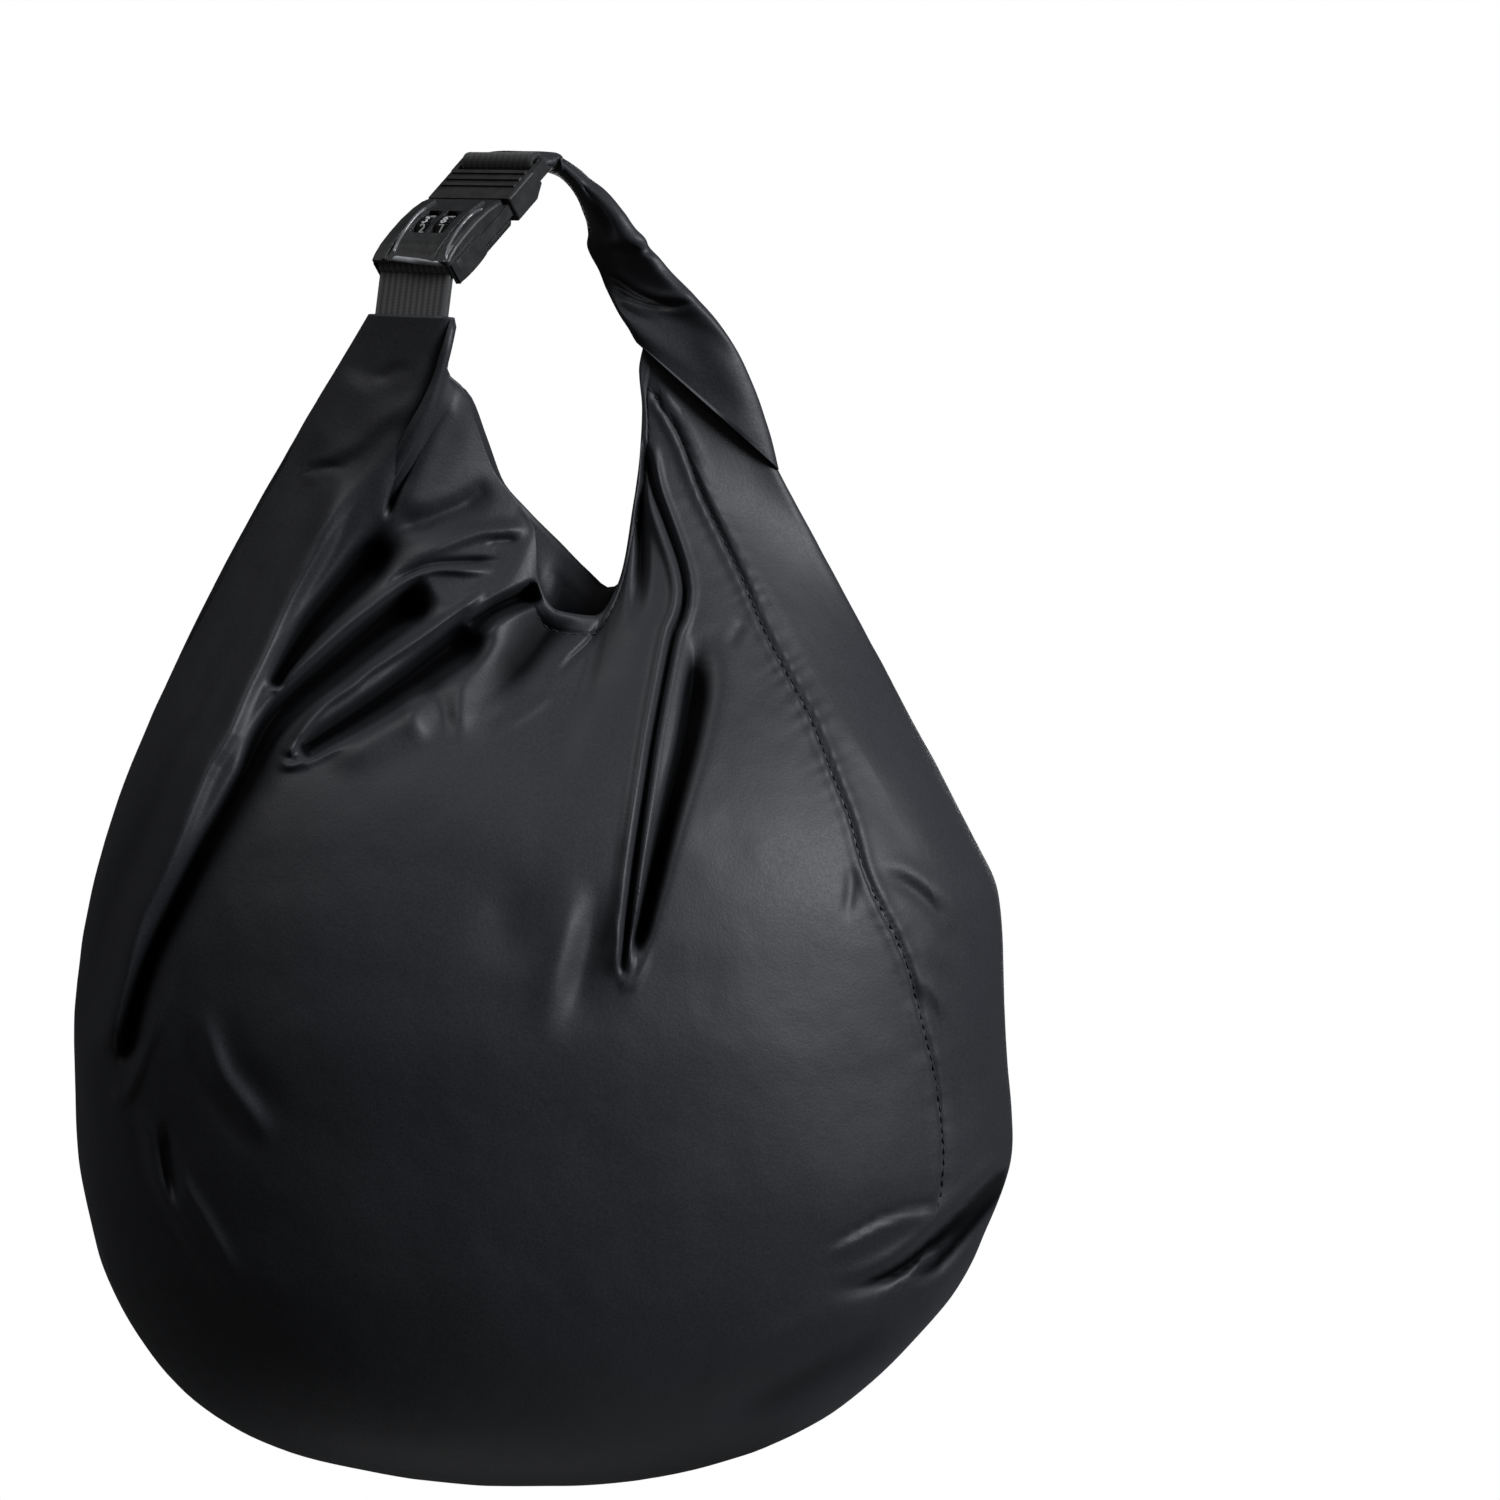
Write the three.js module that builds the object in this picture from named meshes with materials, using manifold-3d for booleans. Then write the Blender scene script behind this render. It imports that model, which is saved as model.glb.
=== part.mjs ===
// A soft hobo-style helmet bag, hanging by its own twisted handle, closed by a two-dial combination buckle.
// Millimetres, +Z up, +X to the wearer's right as the bag is seen from the front, -Y towards the viewer.
// The origin is where the bag hangs: the underside of the handle at its highest point.
import * as THREE from "three";
import { mergeVertices } from "three/addons/utils/BufferGeometryUtils.js";
import Module from "manifold-3d";

const wasm = await Module();
wasm.setup();

// Driving sizes of the cloth body.
const bag_width = 373;
const bag_depth = 270;
const body_height = 354;
const handle_drop = 168;
const cloth = 1.5;
const body_centre_x = -3;
const body_centre_y = -12;
const mouth_gap = 76;
const columns_ear = 7;
const columns_front = 24;
const columns_back = 14;
const rows_body = 15;
const rows_shoulder = 15;

// Driving sizes of the handle sleeve.
const sleeve_width = 76;
const sleeve_thickness = 16;
const sleeve_steps = 24;
const sleeve_around = 18;

// Driving sizes of the webbing.
const webbing_width = 38;
const webbing_thickness = 1.4;
const webbing_drop = 20;
const webbing_tuck = 2.5;
const handle_fold = 2.4;
const handle_tail = 8.5;
const handle_bend = 40;

// Driving sizes of the buckle, in its own frame: x across, y from the face of the clip inwards, z from lock to clip.
const clip_width = 44;
const lock_width = 41;
const buckle_thickness = 11;
const lock_length = 40;
const lock_dome = 4.2;
const clip_length = 19.6;
const clip_gap = 2;
const cheek_height = 6.4;
const edge_round = 1.6;
const pin_radius = 1.6;
const lock_pin = { y: 3.2, z: 3.2 };
const clip_pin = { y: 1.5, z: 66.5 };
const dial_radius = 6.9;
const dial_width = 7;
const dial_pitch = 10;
const dial_stand = 0.9;
const dial_height = 22;
const dial_facets = 20;
const dial_count = 2;
const axle_radius = 1.1;
const axle_length = 26;
const rail_width = 2.2;
const rail_height = 0.9;
const rail_offset = 13;
const rib_width = 1.5;
const rib_height = 0.8;
const rib_count = 3;
const rib_pitch = 4;
const arm_width = 2.4;
const arm_depth = 5;
const pad_width = 3;
const pad_depth = 8.6;
const pad_length = 20;

// Clearances.
const gap = 0.3;
const running_gap = 0.4;

// The buckle leans back and turns its face to the left as the handle twists.
const buckle_foot = new THREE.Vector3(-54.4, -44.4, -39.8);
const buckle_across = new THREE.Vector3(0.764, -0.644, -0.047).normalize();
const buckle_lean = new THREE.Vector3(0.48, 0.59, 0.65);
const webbing_fall = new THREE.Vector3(-0.2, 0, -0.98);
const buckle_in = new THREE.Vector3().crossVectors(buckle_lean, buckle_across).normalize();
const buckle_up = new THREE.Vector3().crossVectors(buckle_across, buckle_in).normalize();

function buckle_point(x, y, z) {
  return buckle_foot
    .clone()
    .addScaledVector(buckle_across, x)
    .addScaledVector(buckle_in, y)
    .addScaledVector(buckle_up, z);
}

// A monotone cubic through one column of a table, so that a curve never overshoots its rows.
function curve(rows, by, column, at) {
  const x = rows.map((row) => row[by]);
  const y = rows.map((row) => row[column]);
  const last = x.length - 1;
  const slope = [];
  for (let i = 0; i < last; i++) slope.push((y[i + 1] - y[i]) / (x[i + 1] - x[i]));
  const tangent = y.map((_, i) => {
    if (i === 0) return slope[0];
    if (i === last) return slope[last - 1];
    if (slope[i - 1] * slope[i] <= 0) return 0;
    return (2 * slope[i - 1] * slope[i]) / (slope[i - 1] + slope[i]);
  });
  const where = Math.min(Math.max(at, x[0]), x[last]);
  let k = 0;
  while (k < last - 1 && where > x[k + 1]) k++;
  const step = x[k + 1] - x[k];
  const t = (where - x[k]) / step;
  return hermite(y[k], tangent[k] * step, y[k + 1], tangent[k + 1] * step, t);
}

function hermite(start, leave, end, arrive, t) {
  const t2 = t * t;
  const t3 = t2 * t;
  return (2 * t3 - 3 * t2 + 1) * start + (t3 - 2 * t2 + t) * leave + (3 * t2 - 2 * t3) * end + (t3 - t2) * arrive;
}

// The body in level sections. climb runs up the side from the lowest point; drop is a share of body_height
// below the mouth; left and right are shares of bag_width from the centre line; depth is a share of bag_depth.
const body_sections = [
  { climb: 0, drop: 1, left: 0, right: 0, depth: 0 },
  { climb: 0.134, drop: 0.989, left: 0.14, right: 0.137, depth: 0.172 },
  { climb: 0.268, drop: 0.96, left: 0.271, right: 0.233, depth: 0.31 },
  { climb: 0.337, drop: 0.932, left: 0.336, right: 0.289, depth: 0.366 },
  { climb: 0.384, drop: 0.904, left: 0.375, right: 0.329, depth: 0.4 },
  { climb: 0.455, drop: 0.847, left: 0.425, right: 0.389, depth: 0.442 },
  { climb: 0.516, drop: 0.79, left: 0.456, right: 0.437, depth: 0.468 },
  { climb: 0.574, drop: 0.734, left: 0.477, right: 0.466, depth: 0.485 },
  { climb: 0.679, drop: 0.621, left: 0.497, right: 0.499, depth: 0.498 },
  { climb: 0.784, drop: 0.508, left: 0.5, right: 0.492, depth: 0.5 },
  { climb: 0.889, drop: 0.395, left: 0.491, right: 0.49, depth: 0.48 },
  { climb: 0.945, drop: 0.339, left: 0.482, right: 0.485, depth: 0.462 },
  { climb: 1, drop: 0.282, left: 0.467, right: 0.46, depth: 0.437 },
];
const mouth_z = -handle_drop;
const body_squareness = 2.15;

function body_point(turn, climb) {
  const left = curve(body_sections, "climb", "left", climb) * bag_width;
  const right = curve(body_sections, "climb", "right", climb) * bag_width;
  const depth = curve(body_sections, "climb", "depth", climb) * bag_depth;
  const drop = curve(body_sections, "climb", "drop", climb) * body_height;
  const angle = THREE.MathUtils.degToRad(turn);
  const c = Math.cos(angle);
  const s = Math.sin(angle);
  const round = Math.pow(Math.pow(Math.abs(c), body_squareness) + Math.pow(Math.abs(s), body_squareness), -1 / body_squareness);
  return new THREE.Vector3(
    body_centre_x + (right - left) / 2 - ((right + left) / 2) * c * round,
    body_centre_y - depth * s * round,
    mouth_z - drop,
  );
}

// The left ear ends round the lower webbing, which falls from the pin of the lock.
const fall = webbing_fall.clone().addScaledVector(buckle_across, -webbing_fall.dot(buckle_across)).normalize();
const ear_normal = new THREE.Vector3().crossVectors(buckle_across, fall).normalize();
const ear_half_width = webbing_width / 2 + gap + cloth + 1.8;
const ear_half_thickness = webbing_thickness + gap + cloth;
const ear_centre = buckle_point(0, lock_pin.y, lock_pin.z).addScaledVector(fall, webbing_drop);

// The right ear ends inside the handle sleeve.
const right_ear_end = new THREE.Vector3(58.2, body_centre_y, -84.8);
const right_ear_across = new THREE.Vector3(0.81, 0, -0.586).normalize();
const right_ear_half_width = 26.5;
const right_ear_half_thickness = 2.6;

// The rim of the mouth between the ears, front and back. turn is in degrees round the bag; across and drop place it
// in the front view as shares of handle_drop from the origin; mid is the middle plane's y as a share of it too, and
// open is how far the rim stands from that plane as a share of half the mouth_gap.
const ear_turn = 24;
const sleeve_turn = 146;
const rim_front = [
  { turn: 34, across: -0.236, drop: 0.479, mid: -0.31, open: 0.1 },
  { turn: 39, across: -0.198, drop: 0.526, mid: -0.28, open: 0.13 },
  { turn: 48, across: -0.162, drop: 0.629, mid: -0.22, open: 0.22 },
  { turn: 56, across: -0.126, drop: 0.721, mid: -0.17, open: 0.36 },
  { turn: 63, across: -0.074, drop: 0.788, mid: -0.13, open: 0.56 },
  { turn: 70, across: -0.031, drop: 0.867, mid: -0.1, open: 0.82 },
  { turn: 77, across: -0.024, drop: 0.962, mid: -0.08, open: 1 },
  { turn: 84, across: 0.017, drop: 1.04, mid: -0.08, open: 1 },
  { turn: 92, across: 0.107, drop: 1.055, mid: -0.07, open: 0.94 },
  { turn: 98, across: 0.152, drop: 1, mid: -0.07, open: 0.8 },
  { turn: 105, across: 0.176, drop: 0.926, mid: -0.07, open: 0.62 },
  { turn: 114, across: 0.193, drop: 0.807, mid: -0.07, open: 0.38 },
  { turn: 126, across: 0.21, drop: 0.664, mid: -0.07, open: 0.2 },
  { turn: 134, across: 0.214, drop: 0.569, mid: -0.07, open: 0.12 },
  { turn: 141, across: 0.207, drop: 0.479, mid: -0.07, open: 0.09 },
];
const rim_back = [
  { turn: 35, across: -0.236, drop: 0.479, mid: -0.31, open: 0.1 },
  { turn: 42, across: -0.188, drop: 0.54, mid: -0.27, open: 0.13 },
  { turn: 51, across: -0.155, drop: 0.633, mid: -0.21, open: 0.22 },
  { turn: 60, across: -0.119, drop: 0.736, mid: -0.15, open: 0.42 },
  { turn: 69, across: -0.055, drop: 0.812, mid: -0.1, open: 0.66 },
  { turn: 78, across: 0.017, drop: 0.886, mid: -0.08, open: 0.88 },
  { turn: 87, across: 0.088, drop: 0.957, mid: -0.07, open: 0.98 },
  { turn: 93, across: 0.138, drop: 0.995, mid: -0.07, open: 0.94 },
  { turn: 98, across: 0.174, drop: 0.962, mid: -0.07, open: 0.82 },
  { turn: 105, across: 0.19, drop: 0.879, mid: -0.07, open: 0.6 },
  { turn: 115, across: 0.207, drop: 0.76, mid: -0.07, open: 0.34 },
  { turn: 128, across: 0.219, drop: 0.617, mid: -0.07, open: 0.16 },
  { turn: 137, across: 0.221, drop: 0.51, mid: -0.07, open: 0.1 },
];

// One rim point for each turn, with the way the cloth arrives there.
function rim_point(turn) {
  const back = turn > 180;
  const fold = back ? 360 - turn : turn;
  const side = back ? -1 : 1;
  const point = new THREE.Vector3();
  const out = new THREE.Vector3(0, -1, 0);
  if (fold <= ear_turn || fold >= sleeve_turn) {
    const left = fold <= ear_turn;
    const share = left ? fold / ear_turn : (180 - fold) / (180 - sleeve_turn);
    const wrap = Math.sqrt(1 - Math.pow(1 - Math.min(share / 0.12, 1), 2));
    const centre = left ? ear_centre : right_ear_end;
    const across = left ? buckle_across : right_ear_across;
    const half = (left ? -1 : 1) * (left ? ear_half_width : right_ear_half_width);
    const thick = left ? ear_half_thickness : right_ear_half_thickness;
    if (left) out.copy(ear_normal).multiplyScalar(ear_normal.y > 0 ? -1 : 1);
    point.copy(centre).addScaledVector(across, half * (1 - 2 * share));
    return point.addScaledVector(out, side * thick * wrap);
  }
  const rows = (back ? rim_back : rim_front).map((row) => rim_row(row, side));
  const ends = [rim_end(ear_turn, side), ...rows, rim_end(sleeve_turn, side)];
  return point.set(
    curve(ends, "turn", "x", fold),
    curve(ends, "turn", "y", fold),
    curve(ends, "turn", "z", fold),
  );
}

function rim_row(row, side) {
  return {
    turn: row.turn,
    x: row.across * handle_drop,
    y: row.mid * handle_drop - (side * row.open * mouth_gap) / 2,
    z: -row.drop * handle_drop,
  };
}

function rim_end(turn, side) {
  const end = rim_point(side > 0 ? turn : 360 - turn);
  return { turn, x: end.x, y: end.y, z: end.z };
}

// How the cloth arrives at the rim: straight up into the ears, leaning inwards over the mouth.
const arrivals = [
  { turn: 0, x: 0.67, y: -0.06, z: 0.75 },
  { turn: 24, x: 0.25, y: -0.1, z: 1 },
  { turn: 60, x: 0.3, y: 0.3, z: 0.8 },
  { turn: 98, x: 0.1, y: 0.75, z: 0.85 },
  { turn: 125, x: -0.15, y: 0.35, z: 0.9 },
  { turn: 146, x: -0.3, y: 0, z: 0.9 },
  { turn: 180, x: -0.45, y: 0, z: 0.85 },
];

function shoulder_point(turn, share) {
  const start = body_point(turn, 1);
  const leave = start.clone().sub(body_point(turn, 0.98)).normalize();
  const end = rim_point(turn);
  const fold = turn > 180 ? 360 - turn : turn;
  const side = turn > 180 ? -1 : 1;
  const arrive = new THREE.Vector3(
    curve(arrivals, "turn", "x", fold),
    side * curve(arrivals, "turn", "y", fold),
    curve(arrivals, "turn", "z", fold),
  );
  const ear = 1 - THREE.MathUtils.smoothstep(fold, ear_turn, ear_turn + 16);
  arrive.addScaledVector(ear_normal, -ear * arrive.dot(ear_normal));
  const reach = start.distanceTo(end);
  leave.multiplyScalar(reach);
  arrive.multiplyScalar(reach * 1.05);
  return new THREE.Vector3(
    hermite(start.x, leave.x, end.x, arrive.x, share),
    hermite(start.y, leave.y, end.y, arrive.y, share),
    hermite(start.z, leave.z, end.z, arrive.z, share),
  );
}

// Main folds. path is in the front view: across as a share of bag_width from the centre line, drop as a share of
// body_height below the mouth. width and depth are shares of bag_width; a negative depth is a groove.
const folds = [
  { side: "front", path: [[-0.206, -0.14], [-0.297, 0.067], [-0.373, 0.237], [-0.439, 0.375], [-0.469, 0.497]], width: 0.03, depth: 0.016 },
  { side: "front", path: [[-0.263, 0.056], [-0.333, 0.215], [-0.392, 0.328], [-0.429, 0.429], [-0.45, 0.531]], width: 0.034, depth: -0.026 },
  { side: "front", path: [[-0.135, -0.102], [-0.17, -0.07], [-0.241, 0.063], [-0.298, 0.124]], width: 0.034, depth: -0.018 },
  { side: "front", path: [[-0.05, -0.032], [-0.124, -0.027], [-0.188, 0.008], [-0.293, 0.111]], width: 0.024, depth: 0.014 },
  { side: "front", path: [[-0.113, 0], [-0.161, 0.034], [-0.231, 0.085]], width: 0.024, depth: -0.014 },
  { side: "front", path: [[-0.066, 0.001], [-0.142, 0.06], [-0.212, 0.102], [-0.28, 0.186]], width: 0.022, depth: 0.013 },
  { side: "front", path: [[-0.027, 0.011], [-0.1, 0.054], [-0.17, 0.093], [-0.257, 0.173]], width: 0.03, depth: -0.02 },
  { side: "front", path: [[0.161, 0.03], [0.153, 0.136], [0.135, 0.232], [0.107, 0.362], [0.091, 0.437]], width: 0.034, depth: -0.034 },
  { side: "front", path: [[0.06, 0.331], [0.04, 0.397], [0.022, 0.486], [0.007, 0.554]], width: 0.036, depth: -0.012 },
  { side: "front", path: [[0.498, 0.653], [0.44, 0.703], [0.387, 0.759], [0.343, 0.79], [0.299, 0.801]], width: 0.028, depth: -0.022 },
  { side: "front", path: [[0.361, 0.859], [0.277, 0.901], [0.169, 0.958]], width: 0.03, depth: -0.01 },
  { side: "back", path: [[-0.2, -0.15], [-0.27, 0.06], [-0.36, 0.3]], width: 0.04, depth: -0.022 },
  { side: "back", path: [[-0.14, -0.1], [-0.15, 0.1], [-0.17, 0.3]], width: 0.034, depth: -0.018 },
  { side: "back", path: [[0.14, 0.02], [0.18, 0.2], [0.16, 0.42]], width: 0.036, depth: -0.024 },
  { side: "back", path: [[0.24, -0.02], [0.31, 0.2], [0.36, 0.4]], width: 0.034, depth: -0.018 },
  { side: "back", path: [[0.44, 0.66], [0.34, 0.78], [0.24, 0.84]], width: 0.03, depth: -0.016 },
];
const fold_steps = 14;
const fold_lines = folds.map((row) => {
  const knots = row.path.map(
    ([across, drop]) => new THREE.Vector2(body_centre_x + across * bag_width, mouth_z - drop * body_height),
  );
  return { ...row, points: new THREE.SplineCurve(knots).getPoints(fold_steps) };
});

// How far the folds lift the cloth at a point of the front view: a bell across each fold, fading at both of its ends.
function fold_height(x, z, side) {
  let total = 0;
  for (const line of fold_lines) {
    if (line.side !== side) continue;
    let nearest = Infinity;
    let along = 0;
    for (let i = 0; i < fold_steps; i++) {
      const a = line.points[i];
      const b = line.points[i + 1];
      const dx = b.x - a.x;
      const dz = b.y - a.y;
      const t = THREE.MathUtils.clamp(((x - a.x) * dx + (z - a.y) * dz) / (dx * dx + dz * dz), 0, 1);
      const distance = Math.hypot(x - a.x - t * dx, z - a.y - t * dz);
      if (distance < nearest) {
        nearest = distance;
        along = (i + t) / fold_steps;
      }
    }
    const fade = THREE.MathUtils.smoothstep(along, 0, 0.2) * (1 - THREE.MathUtils.smoothstep(along, 0.75, 1));
    const across = nearest / (line.width * bag_width);
    total += line.depth * bag_width * fade * Math.exp(-across * across);
  }
  return total;
}

// A closed wall from rings of outer points: the rings are offset inwards by the cloth, and joined at each open end.
function wall_between(rings, inward, closed_start) {
  const around = rings[0].length;
  const outer = rings.map((ring) => ring.map((p) => p.clone()));
  const inner = outer.map((ring, r) => ring.map((p, c) => p.clone().addScaledVector(inward(outer, r, c), cloth)));
  const positions = [];
  const triangles = [];
  const index = (layer, r, c) => {
    const base = layer * rings.length * around;
    if (closed_start && r === 0) return base;
    return base + r * around + ((c + around) % around);
  };
  for (const layer of [outer, inner]) for (const ring of layer) for (const p of ring) positions.push(p.x, p.y, p.z);
  const quad = (a, b, c, d) => {
    if (a !== b) triangles.push(a, b, c);
    if (c !== d) triangles.push(a, c, d);
  };
  const top = rings.length - 1;
  for (let r = 0; r < top; r++) {
    for (let c = 0; c < around; c++) {
      quad(index(0, r, c), index(0, r, c + 1), index(0, r + 1, c + 1), index(0, r + 1, c));
      quad(index(1, r, c + 1), index(1, r, c), index(1, r + 1, c), index(1, r + 1, c + 1));
    }
  }
  for (let c = 0; c < around; c++) {
    quad(index(0, top, c), index(0, top, c + 1), index(1, top, c + 1), index(1, top, c));
    if (!closed_start) quad(index(0, 0, c + 1), index(0, 0, c), index(1, 0, c), index(1, 0, c + 1));
  }
  const geometry = new THREE.BufferGeometry();
  geometry.setAttribute("position", new THREE.Float32BufferAttribute(positions, 3));
  geometry.setIndex(triangles);
  return geometry;
}

// The inward normal of a ring surface, from its neighbours round and up.
function ring_normal(rings, r, c, sign) {
  const around = rings[0].length;
  const up = Math.min(r + 1, rings.length - 1);
  const down = Math.max(r - 1, 0);
  const round = rings[r][(c + 1) % around].clone().sub(rings[r][(c + around - 1) % around]);
  const climb = rings[up][c].clone().sub(rings[down][c]);
  const normal = new THREE.Vector3().crossVectors(climb, round).normalize();
  return normal.multiplyScalar(sign);
}

// Turns round the bag: closer together towards the outer edge of each ear.
function half_turns(columns_middle) {
  const turns = [];
  for (let i = 0; i < columns_ear; i++) turns.push(ear_turn * Math.pow(i / columns_ear, 1.5));
  for (let i = 0; i < columns_middle; i++) turns.push(ear_turn + ((sleeve_turn - ear_turn) * i) / columns_middle);
  for (let i = 0; i < columns_ear; i++) turns.push(180 - (180 - sleeve_turn) * Math.pow(1 - i / columns_ear, 1.5));
  return turns;
}

function bag_turns() {
  const front = half_turns(columns_front);
  const back = half_turns(columns_back).concat(180).slice(1);
  return [...front, ...back.reverse().map((turn) => 360 - turn)];
}

function bag_shell() {
  const turns = bag_turns();
  const rings = [];
  for (let r = 0; r <= rows_body; r++) rings.push(turns.map((turn) => body_point(turn, r / rows_body)));
  for (let r = 1; r <= rows_shoulder; r++) rings.push(turns.map((turn) => shoulder_point(turn, r / rows_shoulder)));
  const smooth = rings.map((ring) => ring.map((p) => p.clone()));
  rings.forEach((ring, r) => {
    if (r === 0) return;
    ring.forEach((p, c) => {
      const side = turns[c] <= 180 ? "front" : "back";
      const rim_fade = 1 - THREE.MathUtils.smoothstep(r, rings.length - 4, rings.length - 1);
      const facing = Math.min(1, Math.abs(Math.sin(THREE.MathUtils.degToRad(turns[c]))) / 0.3);
      p.addScaledVector(ring_normal(smooth, r, c, -1), fold_height(p.x, p.z, side) * rim_fade * facing);
    });
  });
  const inward = (outer, r, c) => (r === 0 ? new THREE.Vector3(0, 0, 1) : ring_normal(outer, r, c, 1));
  return wall_between(rings, inward, true);
}

// The handle sleeve from the clip to the right shoulder. across and drop are shares of handle_drop from the origin,
// and so is back along y; wx, wy, wz is the way its width lies; wide and thick are shares of the sleeve's sizes.
const sleeve_sections = [
  { at: 0, across: -0.09, back: -0.0036, drop: -0.0155, wx: 0.764, wy: -0.644, wz: -0.047, wide: 0.57, thick: 0.68 },
  { at: 1, across: -0.0565, back: 0.03, drop: -0.019, wx: 0.7, wy: -0.71, wz: -0.03, wide: 0.585, thick: 0.58 },
  { at: 2, across: -0.018, back: 0.0535, drop: -0.0202, wx: 0.35, wy: -0.94, wz: 0, wide: 0.54, thick: 0.46 },
  { at: 3, across: 0.016, back: 0.0607, drop: -0.0083, wx: 0.05, wy: -1, wz: 0, wide: 0.54, thick: 0.44 },
  { at: 4, across: 0.048, back: 0.06, drop: 0.0143, wx: 0, wy: -1, wz: 0, wide: 0.55, thick: 0.5 },
  { at: 5, across: 0.078, back: 0.055, drop: 0.0476, wx: 0, wy: -1, wz: 0, wide: 0.56, thick: 0.58 },
  { at: 6, across: 0.103, back: 0.045, drop: 0.088, wx: 0.1, wy: -0.99, wz: 0, wide: 0.57, thick: 0.68 },
  { at: 7, across: 0.133, back: 0.03, drop: 0.1405, wx: 0.32, wy: -0.944, wz: -0.06, wide: 0.58, thick: 0.7 },
  { at: 8, across: 0.17, back: 0.006, drop: 0.2, wx: 0.605, wy: -0.776, wz: -0.173, wide: 0.61, thick: 0.72 },
  { at: 9, across: 0.222, back: -0.024, drop: 0.269, wx: 0.758, wy: -0.6, wz: -0.255, wide: 0.65, thick: 0.76 },
  { at: 10, across: 0.26, back: -0.042, drop: 0.3226, wx: 0.86, wy: -0.4, wz: -0.316, wide: 0.7, thick: 0.82 },
  { at: 11, across: 0.3, back: -0.0595, drop: 0.3905, wx: 0.9, wy: -0.15, wz: -0.41, wide: 0.76, thick: 0.9 },
  { at: 12, across: 0.347, back: -0.0714, drop: 0.4917, wx: 0.827, wy: 0, wz: -0.56, wide: 0.87, thick: 0.96 },
  { at: 13, across: 0.369, back: -0.0714, drop: 0.563, wx: 0.746, wy: 0, wz: -0.666, wide: 1, thick: 1 },
];

function sleeve_centre(at) {
  return new THREE.Vector3(
    curve(sleeve_sections, "at", "across", at) * handle_drop,
    curve(sleeve_sections, "at", "back", at) * handle_drop,
    -curve(sleeve_sections, "at", "drop", at) * handle_drop,
  );
}

function sleeve_ring(at) {
  const centre = sleeve_centre(at);
  const along = sleeve_centre(at + 0.2).sub(sleeve_centre(at - 0.2)).normalize();
  const wide = new THREE.Vector3(
    curve(sleeve_sections, "at", "wx", at),
    curve(sleeve_sections, "at", "wy", at),
    curve(sleeve_sections, "at", "wz", at),
  );
  const square = 1 - THREE.MathUtils.smoothstep(at, 2, 6);
  wide.addScaledVector(along, -square * wide.dot(along)).normalize();
  const thick = new THREE.Vector3().crossVectors(wide, along).normalize();
  const half_width = (curve(sleeve_sections, "at", "wide", at) * sleeve_width) / 2;
  const half_thickness = (curve(sleeve_sections, "at", "thick", at) * sleeve_thickness) / 2;
  const ring = [];
  for (let i = 0; i < sleeve_around; i++) {
    const angle = (2 * Math.PI * i) / sleeve_around;
    const c = Math.cos(angle);
    const s = Math.sin(angle);
    const flat = Math.sign(s) * Math.pow(Math.abs(s), 0.75);
    ring.push(centre.clone().addScaledVector(wide, half_width * c).addScaledVector(thick, half_thickness * flat));
  }
  return ring;
}

function handle_sleeve() {
  const rings = [];
  const last = sleeve_sections.length - 1;
  for (let i = 0; i <= sleeve_steps; i++) rings.push(sleeve_ring((last * i) / sleeve_steps));
  return wall_between(rings, (outer, r, c) => ring_normal(outer, r, c, 1), false);
}

// The solid helpers: manifold-3d only joins and cuts.
function solid(geometry) {
  const bare = geometry.clone();
  bare.deleteAttribute("normal");
  bare.deleteAttribute("uv");
  const merged = mergeVertices(bare, 1e-4);
  const mesh = new wasm.Mesh({
    numProp: 3,
    vertProperties: new Float32Array(merged.attributes.position.array),
    triVerts: new Uint32Array(merged.index.array),
  });
  return new wasm.Manifold(mesh);
}

function geometry_of(manifold) {
  const mesh = manifold.getMesh();
  const geometry = new THREE.BufferGeometry();
  geometry.setAttribute("position", new THREE.BufferAttribute(new Float32Array(mesh.vertProperties), 3));
  geometry.setIndex(new THREE.BufferAttribute(new Uint32Array(mesh.triVerts), 1));
  return geometry;
}

function block(x0, x1, y0, y1, z0, z1) {
  const box = new THREE.BoxGeometry(x1 - x0, y1 - y0, z1 - z0);
  return solid(box.translate((x0 + x1) / 2, (y0 + y1) / 2, (z0 + z1) / 2));
}

// A side profile of [y, z] points carried across the buckle from x0 to x1.
const across_turn = new THREE.Matrix4().makeBasis(
  new THREE.Vector3(0, 1, 0),
  new THREE.Vector3(0, 0, 1),
  new THREE.Vector3(1, 0, 0),
);
function carried_across(shape, x0, x1, round) {
  const options = {
    depth: x1 - x0 - 2 * round,
    bevelEnabled: round > 0,
    bevelSize: round,
    bevelOffset: -round,
    bevelThickness: round,
    bevelSegments: 3,
    curveSegments: 10,
  };
  const geometry = new THREE.ExtrudeGeometry(shape, options);
  geometry.translate(0, 0, round);
  return geometry.applyMatrix4(across_turn).translate(x0, 0, 0);
}

function profile(points) {
  return new THREE.Shape(points.map(([y, z]) => new THREE.Vector2(y, z)));
}

function rod(radius, x0, x1, y, z, facets) {
  const cylinder = new THREE.CylinderGeometry(radius, radius, x1 - x0, facets);
  return solid(cylinder.rotateZ(Math.PI / 2).translate((x0 + x1) / 2, y, z));
}

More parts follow.
